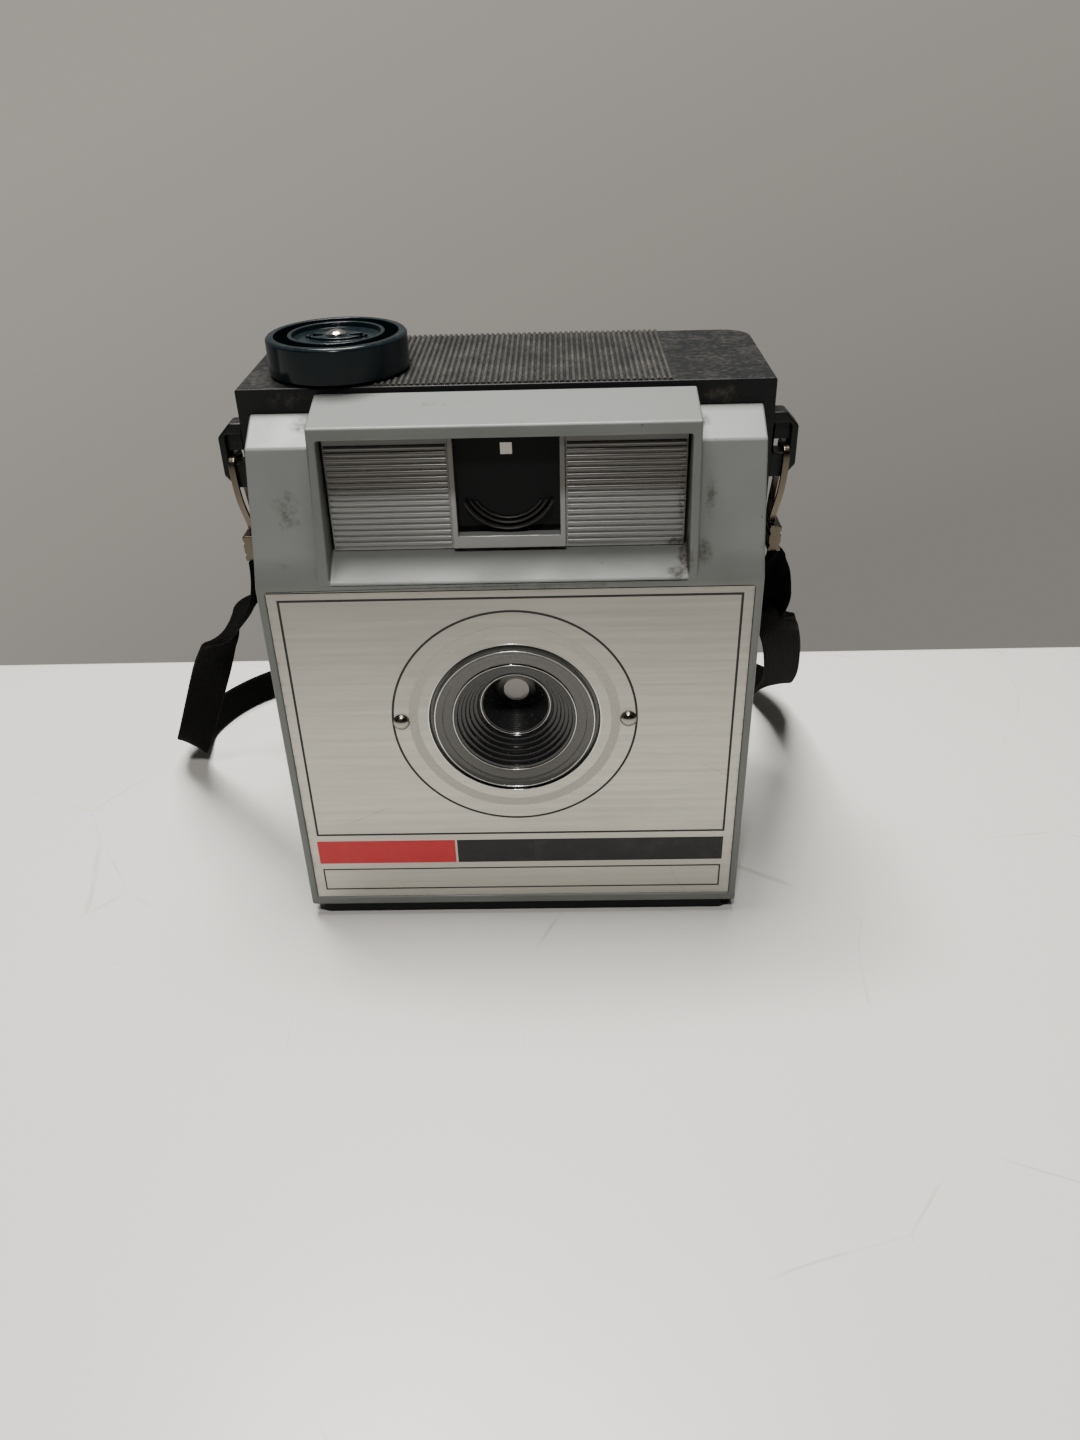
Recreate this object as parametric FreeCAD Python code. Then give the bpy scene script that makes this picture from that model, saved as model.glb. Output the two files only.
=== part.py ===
"""Box camera for 127 roll film: body, front cover, shutter, finder, winder, flash supply, back and strap.

Frame: X to the right of someone facing the camera, the lens looks along -Y, +Z up.
The origin is on the table, under the middle of the camera. Lengths are in millimetres.
"""
import FreeCAD, Part
import math
import os

V = FreeCAD.Vector
X, Y, Z = V(1, 0, 0), V(0, 1, 0), V(0, 0, 1)

# ---- driving dimensions: outside ----
BODY_WIDTH = 90.0        # dark body, side to side
BODY_HEIGHT = 103.5      # table to deck
BODY_DEPTH = 34.3        # dark body, from the front cover's joint to its upper rear wall
BODY_WALL = 2.0
BODY_CORNER_R = 5.0      # rear upright corners
FRONT_WIDTH = 86.0       # light front cover
FRONT_DEPTH = 14.7       # front cover, front plane to joint
FRONT_TOP = 74.3         # top edge of the flat front
FRONT_WALL = 1.6
SKIRT = 3.0              # dark tray under the front cover
SKIRT_INSET = 1.0        # tray's front edge behind the front plane
SKIRT_WIDTH = 85.2
HOOD_HALF = 31.8         # half width of the finder hood
HOOD_WALL = 1.5
HOOD_TOP = 100.0         # hood's front upper edge
REAR_DEPTH = 13.5        # removable back
REAR_WIDTH = 89.2
REAR_HEIGHT = 79.5
REAR_WALL = 1.8

# ---- driving dimensions: optics ----
LENS_Z = 46.75
LENS_R = 5.5
LENS_THICK = 1.4
LENS_MOUNT_R = 9.0
LENS_HOLE_R = 15.8       # hole in the face plate
FUNNEL_MOUTH_R = 11.2    # front end of the steps
FUNNEL_RING_R = 6.5      # where the steps end and the smooth cone starts
FUNNEL_STEPPED = 5.0     # depth of the stepped part
FUNNEL_STEPS = 6
FUNNEL_FLANGE_R = 17.5
APERTURE_R = 2.3
IMAGE = 40.0             # side of the square negative
GATE_Y = 22.3            # film plane
PLATE_W, PLATE_H, PLATE_T = 83.0, 68.0, 0.6
PLATE_RECESS = 0.8
RIVET_X = 20.7
RIVET_R = 1.55
RIVET_SHANK_R = 0.9

# ---- driving dimensions: finder ----
WINDOW_X, WINDOW_Z = 0.25, 89.4   # centre of the finder window
WINDOW_W, WINDOW_H = 17.3, 17.3
PANEL_Y = 6.0            # ribbed panel behind the front plane
PANEL_T = 1.2
SHELF_TOP = 78.4         # lower edge of the ribbed panel
PANEL_TOP = 98.0
PANEL_HALF = 29.9
RIB_PITCH = 1.05
EYE_Z = 90.0
EYE_R = 3.6
FINDER_PORT = 11.0

# ---- driving dimensions: film transport ----
SPOOL_X = 29.0           # both spool axes, left and right of the lens
SPOOL_CLEAR = 0.15       # spool flange to the body's front wall
SPOOL_R = 9.75
SPOOL_CORE_R = 4.0
SPOOL_LEN = 51.0
SPOOL_FLANGE = 1.0
FLOOR = 2.5              # film compartment floor
CEILING_Z = 77.5         # film compartment ceiling
CEILING = 2.0
KNOB_R = 12.1
KNOB_H = 5.9
KNOB_WALL = 1.45
KNOB_FLOOR = 1.6
ISLAND_R = 8.3
KNOB_GAP = 0.5
SHAFT_R = 2.8
BUSH_R = 4.5
PIN_R = 1.75
BUSH_FLANGE = 0.8
STUD_R = 1.5             # studs under the spools

# ---- driving dimensions: shutter ----
LEVER_T = 0.6
TAB_W = 2.2
BLADE_T = 0.4
SHUTTER_PLATE_T = 0.8
SHUTTER_GAP = 0.3        # between plate, blade and lever
PIVOT_R = 0.9

# ---- driving dimensions: back ----
WINDOW_R = 4.5           # red window
LATCH_Y = 10.6
LATCH_R = 6.5
LATCH_SHAFT_R = 2.0

# ---- driving dimensions: flash supply ----
CELL_R, CELL_LEN = 5.25, 44.5
CELL_PITCH = 11.4
CELL_X = 30.4            # midway between the two cells
CELL_Z = 2.7             # lower end of the cells
DOOR_W, DOOR_D = 24.0, 11.6
DOOR_LOW, DOOR_STEP, DOOR_TOP = 0.4, 1.3, 2.4
DOOR_RAIL = 0.8
BRIDGE_T = 0.5

# ---- driving dimensions: strap ----
LUG_OUT, LUG_BAR, LUG_T = 4.5, 1.3, 4.0
LUG_LOW, LUG_HIGH = 86.2, 97.6
LUG_HOLE_LOW, LUG_HOLE_HIGH = 90.6, 95.6
CLIP_W, CLIP_T = 1.8, 0.8
CLIP_LOW = 77.6
FERRULE_H = 4.8
RIBBON_R = 1.75          # round cord with the ribbon's section area

# ---- named clearances ----
RUN_FIT = 0.05           # radial, shafts in bores
SLIDE_FIT = 0.3          # between sliding or swinging pieces
SEAT_FIT = 0.1           # pieces set into recesses

# ---- worked-out planes ----
FRONT_Y = -(FRONT_DEPTH + BODY_DEPTH + REAR_DEPTH) / 2
JOINT_Y = FRONT_Y + FRONT_DEPTH
BACK_Y = JOINT_Y + BODY_DEPTH
REAR_Y = BACK_Y + REAR_DEPTH
SPIGOT = 1.65            # body tongue inside the front cover
SPIGOT_Y = JOINT_Y - SPIGOT
FILM_FRONT = 1.2         # body's front wall, at the joint
FILM_FRONT_Y = JOINT_Y + FILM_FRONT
SHUTTER_Y = SPIGOT_Y - 0.1
SPIGOT_TOP = FRONT_TOP - 4.5
DECK_T = 2.0
LOFT_FLOOR_Z = CEILING_Z + CEILING
BODY_HALF = BODY_WIDTH / 2
FRONT_HALF = FRONT_WIDTH / 2
SPOOL_LOW = LENS_Z - SPOOL_LEN / 2
SPOOL_HIGH = LENS_Z + SPOOL_LEN / 2
GRIP_Y = PANEL_Y + FRONT_Y
AXIS_Y = FILM_FRONT_Y + SPOOL_CLEAR + SPOOL_R      # both spool axes
PLATE_FACE_Y = SHUTTER_Y - SHUTTER_PLATE_T
BLADE_Y = PLATE_FACE_Y - SHUTTER_GAP - BLADE_T
LEVER_Y = BLADE_Y - SHUTTER_GAP - LEVER_T
DIAPHRAGM_Y = BLADE_Y - SHUTTER_GAP
LEVER_PIVOT = V(-13.0, 0, LENS_Z + 6.0)
BLADE_PIVOT = V(0.0, 0, LENS_Z + 11.0)
LUG_Y = JOINT_Y + 0.8 + LUG_T / 2
CLIP_X = BODY_HALF + 2.0
EXIT_Z = CLIP_LOW - FERRULE_H                      # where the strap leaves its ferrule

# The strap's free ends: points each cord's line is rounded between.
ROUTES = {
    "strap_left": [(-CLIP_X, LUG_Y, EXIT_Z), (-CLIP_X, LUG_Y, 67.0), (-50.2, -10.2, 60.5),
                   (-56.5, -4.0, 54.8),
                   (-62.5, 1.5, 47.0), (-67.5, 7.0, 37.0), (-73.0, 13.0, 25.5), (-79.0, 18.5, 12.5),
                   (-83.0, 24.0, 5.0), (-83.0, 34.0, 4.3), (-79.5, 45.0, 4.3), (-71.5, 55.0, 4.3),
                   (-58.0, 63.0, 4.3), (-40.0, 68.5, 4.3), (-20.0, 71.0, 4.3), (0.0, 71.0, 4.3)],
    "strap_right": [(CLIP_X, LUG_Y, EXIT_Z), (CLIP_X, LUG_Y, 66.5), (49.0, -10.5, 59.5), (52.0, -3.0, 51.0),
                    (55.5, 6.5, 41.5), (58.5, 17.5, 31.0), (61.5, 30.0, 19.5), (63.0, 42.5, 9.0),
                    (60.0, 54.0, 4.3), (51.0, 63.0, 4.3), (37.0, 68.5, 4.3), (20.0, 71.0, 4.3),
                    (0.0, 71.0, 4.3)],
}


def box(x0, x1, y0, y1, z0, z1):
    """A box between two corners."""
    return Part.makeBox(x1 - x0, y1 - y0, z1 - z0, V(x0, y0, z0))


def rod(radius, start, length, axis=Z):
    """A cylinder from a point along an axis."""
    return Part.makeCylinder(radius, length, start, axis)


def ring(outer, inner, start, length, axis=Z):
    """A tube from a point along an axis."""
    return rod(outer, start, length, axis).cut(rod(inner, start, length, axis))


def cone(r0, r1, start, length, axis=Z):
    """A cone or, with equal radii, a cylinder."""
    if abs(r0 - r1) < 1e-6:
        return rod(r0, start, length, axis)
    return Part.makeCone(r0, r1, length, start, axis)


def turned(points, start, axis=Z):
    """A solid turned from (radius, height) points about an axis through a point."""
    face = Part.Face(Part.makePolygon([V(r, 0, h) for r, h in points + points[:1]]))
    solid = face.revolve(V(0, 0, 0), Z, 360)
    solid.Placement = FreeCAD.Placement(start, FreeCAD.Rotation(Z, axis))
    return solid


def prism_x(points, x0, x1):
    """A (y, z) outline pushed along X."""
    return Part.Face(Part.makePolygon([V(x0, y, z) for y, z in points + points[:1]])).extrude(V(x1 - x0, 0,
                                                                                                0))


def prism_y(points, y0, y1):
    """An (x, z) outline pushed along Y."""
    return Part.Face(Part.makePolygon([V(x, y0, z) for x, z in points + points[:1]])).extrude(V(0, y1 - y0,
                                                                                                0))


def prism_z(points, z0, z1):
    """An (x, y) outline pushed along Z."""
    return Part.Face(Part.makePolygon([V(x, y, z0) for x, y in points + points[:1]])).extrude(V(0, 0,
                                                                                                z1 - z0))


def union(shapes):
    """All shapes as one."""
    result = shapes[0]
    for shape in shapes[1:]:
        result = result.fuse(shape)
    return result.removeSplitter()


def group(shapes):
    """Separate solids kept in one node."""
    return Part.makeCompound(shapes)


def upright_edges(shape, inside):
    """Edges along Z whose middle passes a test."""
    found = []
    for edge in shape.Edges:
        low, high = edge.BoundBox.ZMin, edge.BoundBox.ZMax
        flat = edge.BoundBox.XLength < 1e-6 and edge.BoundBox.YLength < 1e-6
        if flat and high - low > 1.0 and inside(edge.BoundBox.Center):
            found.append(edge)
    return found


def inset(points, wall):
    """A convex outline, given counter-clockwise, moved in by a wall; mitred corners."""
    count = len(points)
    lines = []
    for i in range(count):
        (y0, z0), (y1, z1) = points[i], points[(i + 1) % count]
        size = math.hypot(y1 - y0, z1 - z0)
        ny, nz = -(z1 - z0) / size, (y1 - y0) / size
        lines.append((ny, nz, ny * y0 + nz * z0 + wall))
    corners = []
    for i in range(count):
        a, b = lines[i - 1], lines[i]
        det = a[0] * b[1] - a[1] * b[0]
        corners.append(((a[2] * b[1] - b[2] * a[1]) / det, (a[0] * b[2] - b[0] * a[2]) / det))
    return corners


# ---------------------------------------------------------------- dark body
def main_body():
    """Deck, side walls, film compartment, loft for finder and winder, and the tray under the front."""
    shell = box(-BODY_HALF, BODY_HALF, JOINT_Y, BACK_Y, 0, BODY_HEIGHT)
    shell = shell.makeFillet(BODY_CORNER_R, upright_edges(shell, lambda c: c.y > 0))
    spigot_half = FRONT_HALF - FRONT_WALL - SLIDE_FIT
    shell = shell.fuse(box(-spigot_half, spigot_half, SPIGOT_Y, JOINT_Y, SKIRT + FRONT_WALL + SLIDE_FIT,
                           SPIGOT_TOP))
    tray_y = FRONT_Y + SKIRT_INSET
    tray = box(-SKIRT_WIDTH / 2, SKIRT_WIDTH / 2, tray_y, JOINT_Y, 0, SKIRT)
    tray = tray.makeFillet(3.0, upright_edges(tray, lambda c: c.y < tray_y + 1))
    body = shell.fuse(tray)
    room = BODY_HALF - BODY_WALL
    film_room = box(-room, room, FILM_FRONT_Y, BACK_Y + 1, FLOOR, CEILING_Z)
    loft = box(-room, room, FILM_FRONT_Y, BACK_Y - BODY_WALL, LOFT_FLOOR_Z, BODY_HEIGHT - DECK_T)
    finder_port = box(-FINDER_PORT, FINDER_PORT, JOINT_Y - 1, FILM_FRONT_Y + 1, LOFT_FLOOR_Z,
                      PANEL_TOP + 0.8)
    lens_port = rod(LENS_MOUNT_R, V(0, SPIGOT_Y - 1, LENS_Z), SPIGOT + FILM_FRONT + 2, Y)
    eye_port = rod(EYE_R + SEAT_FIT, V(0, BACK_Y - BODY_WALL - 1, EYE_Z), BODY_WALL + 2, Y)
    deck_hole = rod(BUSH_R, V(-SPOOL_X, AXIS_Y, BODY_HEIGHT - DECK_T - 1), DECK_T + 2)
    loft_hole = rod(BUSH_R + SLIDE_FIT, V(-SPOOL_X, AXIS_Y, CEILING_Z - 1), CEILING + 2)
    for hole in (film_room, loft, finder_port, lens_port, eye_port, deck_hole, loft_hole, door_channel(),
                 latch_pocket(), cell_port()):
        body = body.cut(hole)
    for side in (-1, 1):
        body = body.cut(lug_peg(side, SEAT_FIT / 2))
    for stud in screw_places():
        body = body.cut(rod(1.0, stud, SPIGOT + FILM_FRONT + 1, Y))
    return body.removeSplitter()


def door_channel():
    """Stepped slot through the tray's right end that the battery door slides in."""
    x0 = CELL_X - DOOR_W / 2 - SLIDE_FIT
    half = DOOR_D / 2 + SLIDE_FIT
    upper = box(x0, BODY_HALF + 1, cell_y() - half, cell_y() + half, DOOR_STEP - SLIDE_FIT, DOOR_TOP + 0.2)
    half -= DOOR_RAIL
    return upper.fuse(box(x0, BODY_HALF + 1, cell_y() - half, cell_y() + half, -1, DOOR_TOP))


def cell_port():
    """Way through the tray for the cells."""
    gap = 1.0
    x0 = CELL_X - CELL_PITCH / 2 - CELL_R - gap / 2
    x1 = CELL_X + CELL_PITCH / 2 + CELL_R + gap / 2
    return box(x0, x1, cell_y() - CELL_R - gap / 2, cell_y() + CELL_R + 0.1, -1, SKIRT + FRONT_WALL + 1)


def cell_y():
    """Middle of the cells, in front of the body's tongue."""
    return SPIGOT_Y - 0.5 - CELL_R


def latch_pocket():
    """Round pocket under the floor, and the latch's hole."""
    pocket = rod(LATCH_R + SLIDE_FIT, V(0, LATCH_Y, -1), 1 + FLOOR - 0.8)
    return pocket.fuse(rod(LATCH_SHAFT_R + RUN_FIT, V(0, LATCH_Y, -1), FLOOR + 2))


def screw_places():
    """Start points of the four screws that hold the front cover, on the tongue's face."""
    return [V(sx * 37.0, SPIGOT_Y - 0.2, z) for sx in (-1, 1) for z in (12.0, 64.0)]


def lug_peg(side, grow=0.0):
    """Peg of a strap lug, in the side wall."""
    return rod(1.6 + grow, V(side * (BODY_HALF - BODY_WALL), LUG_Y, (LUG_LOW + LUG_HIGH) / 2 - 2.5),
               BODY_WALL, X * side)


def strap_lug(side):
    """Loop on the side wall, with its slot along Y."""
    edge, out = BODY_HALF, BODY_HALF + LUG_OUT
    outline = [(edge, LUG_LOW), (edge + LUG_OUT * 0.6, LUG_LOW), (out, LUG_LOW + 2.2),
               (out, LUG_HIGH - 2.4),
               (edge + LUG_OUT * 0.5, LUG_HIGH), (edge, LUG_HIGH)]
    lug = prism_y([(side * x, z) for x, z in outline], LUG_Y - LUG_T / 2, LUG_Y + LUG_T / 2)
    x0, x1 = sorted((side * (edge + 0.5), side * (out - LUG_BAR)))
    lug = lug.cut(box(x0, x1, LUG_Y - LUG_T, LUG_Y + LUG_T, LUG_HOLE_LOW, LUG_HOLE_HIGH))
    return lug.fuse(lug_peg(side)).removeSplitter()


# ---------------------------------------------------------------- front cover and what it carries
def cover_outline():
    """Side view of the front cover outside the hood, counter-clockwise seen along -X."""
    return [(JOINT_Y, SKIRT), (JOINT_Y, HOOD_TOP - 0.5), (FRONT_Y + 14.0, HOOD_TOP - 0.7),
            (FRONT_Y + 7.7, 95.7),
            (FRONT_Y + 2.1, 79.0), (FRONT_Y, FRONT_TOP), (FRONT_Y, SKIRT)]


def hood_outline():
    """Side view of the hood: struts from the flat front up to its brim."""
    return [(JOINT_Y, FRONT_TOP - 4), (JOINT_Y, HOOD_TOP + 2.6), (FRONT_Y + 4.0, HOOD_TOP),
            (FRONT_Y + 3.6, HOOD_TOP - 3.0),
            (FRONT_Y, FRONT_TOP), (FRONT_Y, FRONT_TOP - 4)]


def front_cover():
    """Light moulded front: flat front with the plate's recess, shoulders, finder hood and shelf."""
    outline = cover_outline()
    cover = prism_x(outline, -FRONT_HALF, FRONT_HALF)
    inner = inset(outline, FRONT_WALL)
    inner = [(y + (FRONT_WALL + 1 if y > JOINT_Y - FRONT_WALL - 0.01 else 0), z) for y, z in inner]
    cover = cover.cut(prism_x(inner, -FRONT_HALF + FRONT_WALL, FRONT_HALF - FRONT_WALL))
    hood = prism_x(hood_outline(), -HOOD_HALF, HOOD_HALF)
    cover = cover.fuse(hood)
    inside = HOOD_HALF - HOOD_WALL
    back = GRIP_Y + PANEL_T
    roof = HOOD_TOP + 2.6 - HOOD_WALL
    cover = cover.cut(box(-inside, inside, back, JOINT_Y + 1, FRONT_TOP - 10, roof - 2.0))
    rim = SHELF_TOP - 0.4
    pocket = [(FRONT_Y - 1, FRONT_TOP - 0.3), (GRIP_Y, rim), (back + 1, rim),
              (back + 1, PANEL_TOP + SEAT_FIT),
              (GRIP_Y - 1.2, PANEL_TOP + SEAT_FIT), (FRONT_Y - 1, PANEL_TOP - 1.0)]
    cover = cover.cut(prism_x(pocket, -inside, inside))
    cover = cover.cut(box(-inside, inside, FRONT_Y + FRONT_WALL + 1.2, JOINT_Y + 1, SKIRT + FRONT_WALL,
                          FRONT_TOP - 4))
    recess_y = FRONT_Y + PLATE_RECESS
    plate_low = SKIRT + 1.9
    grow = SEAT_FIT
    cover = cover.cut(box(-PLATE_W / 2 - grow, PLATE_W / 2 + grow, FRONT_Y - 1, recess_y, plate_low - grow,
                          plate_low + PLATE_H + grow))
    cover = cover.cut(rod(LENS_HOLE_R, V(0, FRONT_Y - 1, LENS_Z), 6, Y))
    cover = cover.cut(cell_port()).cut(door_channel())
    for side in (-1, 1):
        cover = cover.cut(rod(RIVET_SHANK_R, V(side * RIVET_X, FRONT_Y - 1, LENS_Z), 5, Y))
    slot = box(-FRONT_HALF - 1, -FRONT_HALF + FRONT_WALL + 1, LEVER_Y - TAB_W - SLIDE_FIT,
               LEVER_Y + LEVER_T + 0.4 + SLIDE_FIT,
               LENS_Z - 6, LENS_Z + 9.5)
    return cover.cut(slot).removeSplitter()


def face_plate():
    """Thin bright sheet on the flat front, with the lens hole and two rivet holes."""
    y0 = FRONT_Y + PLATE_RECESS - PLATE_T
    low = SKIRT + 1.9
    plate = box(-PLATE_W / 2, PLATE_W / 2, y0, y0 + PLATE_T, low, low + PLATE_H)
    plate = plate.cut(rod(LENS_HOLE_R, V(0, y0 - 1, LENS_Z), 3, Y))
    for side in (-1, 1):
        plate = plate.cut(rod(RIVET_SHANK_R, V(side * RIVET_X, y0 - 1, LENS_Z), 3, Y))
    return plate


def plate_rivets():
    """Two domed rivets through the plate."""
    y0 = FRONT_Y + PLATE_RECESS - PLATE_T
    rivets = []
    for side in (-1, 1):
        start = V(side * RIVET_X, y0, LENS_Z)
        head = Part.makeSphere(RIVET_R, V(side * RIVET_X, y0 + 0.4, LENS_Z)).common(
            box(start.x - 3, start.x + 3, y0 - 3, y0, LENS_Z - 3, LENS_Z + 3))
        rivets.append(head.fuse(rod(RIVET_SHANK_R - 0.02, start, 1.9, Y)))
    return group(rivets)


def lens_guard():
    """Clear ring in the hole, domed at its crest, with a flange behind the cover's front wall."""
    mouth, rim = FUNNEL_MOUTH_R + SEAT_FIT, LENS_HOLE_R - 0.15
    back = FRONT_WALL + SEAT_FIT
    profile = [(mouth, 0.9), (mouth + 1.7, 0.25), (rim - 1.35, -0.1), (rim - 0.75, 0.6), (rim, 0.9),
               (rim, back),
               (FUNNEL_FLANGE_R, back), (FUNNEL_FLANGE_R, back + 0.8), (rim - 1.4, back + 0.8),
               (rim - 2.2, 1.5),
               (mouth, 2.1)]
    return turned(profile, V(0, FRONT_Y, LENS_Z), Y)


def lens_funnel():
    """Dark funnel: stepped in front, then a smooth cone down to the throat."""
    y_front = FRONT_Y + 0.75
    depth = DIAPHRAGM_Y - y_front
    throat = APERTURE_R + 0.05
    points = []
    for i in range(FUNNEL_STEPS):
        radius = FUNNEL_MOUTH_R - 0.6 - (FUNNEL_MOUTH_R - 0.6 - FUNNEL_RING_R) * i / FUNNEL_STEPS
        points += [(radius, FUNNEL_STEPPED * i / FUNNEL_STEPS),
                   (radius - 0.25, FUNNEL_STEPPED * (i + 1) / FUNNEL_STEPS)]
    flange = FRONT_WALL + 2 * SEAT_FIT + 0.8 - 0.75
    points += [(FUNNEL_RING_R - 0.3, FUNNEL_STEPPED), (throat, depth), (throat + 1.05, depth),
               (throat + 1.05, depth - 0.9),
               (FUNNEL_RING_R + 1.3, FUNNEL_STEPPED + 0.4), (FUNNEL_MOUTH_R + 0.8, flange + 0.8),
               (FUNNEL_FLANGE_R, flange + 0.8), (FUNNEL_FLANGE_R, flange), (FUNNEL_MOUTH_R + 1.8, flange),
               (FUNNEL_MOUTH_R, flange - 0.5), (FUNNEL_MOUTH_R, 0.0)]
    return turned(points, V(0, y_front, LENS_Z), Y)


def diaphragm():
    """Thin stop disc at the end of the funnel."""
    return ring(APERTURE_R + 1.0, APERTURE_R, V(0, DIAPHRAGM_Y, LENS_Z), 0.15, Y)


def lens_mount():
    """Ring in the body's port that seats the lens behind the shutter."""
    return ring(LENS_MOUNT_R - SEAT_FIT / 2, LENS_R + SEAT_FIT / 2, V(0, SPIGOT_Y, LENS_Z),
                SPIGOT + FILM_FRONT, Y)


def taking_lens():
    """Single meniscus lens."""
    start = V(0, SPIGOT_Y + 0.1, LENS_Z)
    lens = rod(LENS_R, start, LENS_THICK, Y)
    bowl = Part.makeSphere(30.0, start + V(0, 0.4 - 30.0, 0))
    dome = Part.makeSphere(20.0, start + V(0, LENS_THICK - 20.0, 0))
    return lens.cut(bowl).common(dome)


def lens_retainer():
    """Spring ring that keeps the lens in its mount."""
    return ring(LENS_R - 0.15, LENS_R - 1.0, V(0, SPIGOT_Y + LENS_THICK + 0.15, LENS_Z), 0.4, Y)


def shutter_plate():
    """Pressed plate on the body's tongue that carries the shutter."""
    plate = box(-17.5, 17.5, PLATE_FACE_Y, SHUTTER_Y, LENS_Z - 17.0, LENS_Z + 19.0)
    return plate.cut(rod(APERTURE_R + 1.2, V(0, PLATE_FACE_Y - 1, LENS_Z), 3, Y))


def shutter_pivots():
    """Two shouldered pins, for the blade and for the lever."""
    pins = []
    for place, top in ((LEVER_PIVOT, LEVER_Y - 0.7), (BLADE_PIVOT, BLADE_Y - 0.7)):
        pin = rod(PIVOT_R, V(place.x, top, place.z), PLATE_FACE_Y - top, Y)
        pins.append(pin.fuse(rod(PIVOT_R + 0.7, V(place.x, top - 0.4, place.z), 0.4, Y)).removeSplitter())
    return group(pins)


def shutter_blade():
    """Thin sector that covers the aperture and swings clear."""
    hub = ring(3.0, PIVOT_R + RUN_FIT, V(BLADE_PIVOT.x, BLADE_Y, BLADE_PIVOT.z), BLADE_T, Y)
    arm = box(-2.0, 2.0, BLADE_Y, BLADE_Y + BLADE_T, LENS_Z + 3.0, BLADE_PIVOT.z - 2.0)
    disc = rod(APERTURE_R + 2.0, V(0, BLADE_Y, LENS_Z), BLADE_T, Y)
    return union([hub, arm, disc]).cut(rod(PIVOT_R + RUN_FIT, V(BLADE_PIVOT.x, BLADE_Y - 1, BLADE_PIVOT.z),
                                           3, Y))


def release_lever():
    """Lever from its pivot out through the cover's side, ending in the thumb tab."""
    px, pz = LEVER_PIVOT.x, LEVER_PIVOT.z
    outline = [(px, pz - 2.4), (px, pz + 2.4), (-FRONT_HALF - 1.2, LENS_Z + 7.5),
               (-FRONT_HALF - 1.2, LENS_Z + 2.5)]
    arm = prism_y(outline, LEVER_Y, LEVER_Y + LEVER_T)
    hub = rod(3.2, V(px, LEVER_Y, pz), LEVER_T, Y)
    tab = box(-FRONT_HALF - 2.4, -FRONT_HALF - 0.9, LEVER_Y - TAB_W, LEVER_Y + 0.4 + LEVER_T, LENS_Z + 2.0,
              LENS_Z + 8.0)
    tail = box(px, -3.4, LEVER_Y, LEVER_Y + LEVER_T, pz + 0.2, pz + 2.4)
    lever = union([arm, hub, tab, tail])
    return lever.cut(rod(PIVOT_R + RUN_FIT, V(px, LEVER_Y - 2, pz), 5, Y))


def helix_spring(radius, pitch, turns, wire, start, axis):
    """Coil spring as a round wire swept along a helix."""
    path = Part.Wire(Part.makeHelix(pitch, pitch * turns, radius).Edges)
    section = Part.Wire(Part.makeCircle(wire / 2, V(radius, 0, 0), Y))
    coil = path.makePipeShell([section], True, True)
    coil.Placement = FreeCAD.Placement(start, FreeCAD.Rotation(Z, axis))
    return coil


def shutter_spring():
    """Small tension spring from a lug on the plate to the lever."""
    return helix_spring(0.9, 0.7, 9, 0.3,
                        V(LEVER_PIVOT.x - 3.0, LEVER_Y + LEVER_T + 0.75 - 3.0, LENS_Z - 8.0), Z)


def body_screws():
    """Four screws from the film side into the front cover's bosses."""
    screws = []
    for place in screw_places():
        shank = rod(0.9, place, SPIGOT + FILM_FRONT + 0.2, Y)
        head = rod(1.8, place + V(0, SPIGOT + FILM_FRONT + 0.2, 0), 0.9, Y)
        screws.append(shank.fuse(head).removeSplitter())
    return group(screws)


# ---------------------------------------------------------------- finder
def finder_panel():
    """Ribbed insert under the hood, with the window frame and its sill."""
    y0 = GRIP_Y
    panel = box(-PANEL_HALF, PANEL_HALF, y0, y0 + PANEL_T, SHELF_TOP - 0.3, PANEL_TOP)
    ribs = []
    rows = int((PANEL_TOP - SHELF_TOP - 1.2) / RIB_PITCH)
    for x0, x1 in ((-PANEL_HALF + 0.4, -WINDOW_W / 2 - 1.2), (WINDOW_W / 2 + 1.7, PANEL_HALF - 0.4)):
        for i in range(rows):
            z0 = SHELF_TOP + 0.4 + i * RIB_PITCH
            ribs.append(prism_x([(y0, z0), (y0, z0 + 0.75), (y0 - 0.35, z0 + 0.5), (y0 - 0.35, z0 + 0.25)],
                                x0, x1))
    panel = panel.fuse(ribs)
    frame = box(WINDOW_X - WINDOW_W / 2 - 0.8, WINDOW_X + WINDOW_W / 2 + 0.8, y0 - 1.0, y0,
                SHELF_TOP + 0.2, PANEL_TOP)
    panel = panel.fuse(frame)
    hole = box(WINDOW_X - WINDOW_W / 2, WINDOW_X + WINDOW_W / 2, y0 - 3, y0 + 3, WINDOW_Z - WINDOW_H / 2,
               WINDOW_Z + WINDOW_H / 2 - 0.3)
    return panel.cut(hole).removeSplitter()


def finder_front_lens():
    """Square front lens of the finder, hollowed behind."""
    y0 = GRIP_Y + PANEL_T + 0.2
    half_w, half_h = WINDOW_W / 2 + 0.3, WINDOW_H / 2 + 0.1
    lens = box(WINDOW_X - half_w, WINDOW_X + half_w, y0, y0 + 2.4, WINDOW_Z - half_h, WINDOW_Z + half_h)
    return lens.cut(Part.makeSphere(28.0, V(WINDOW_X, y0 + 0.9 + 28.0, WINDOW_Z)))


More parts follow.
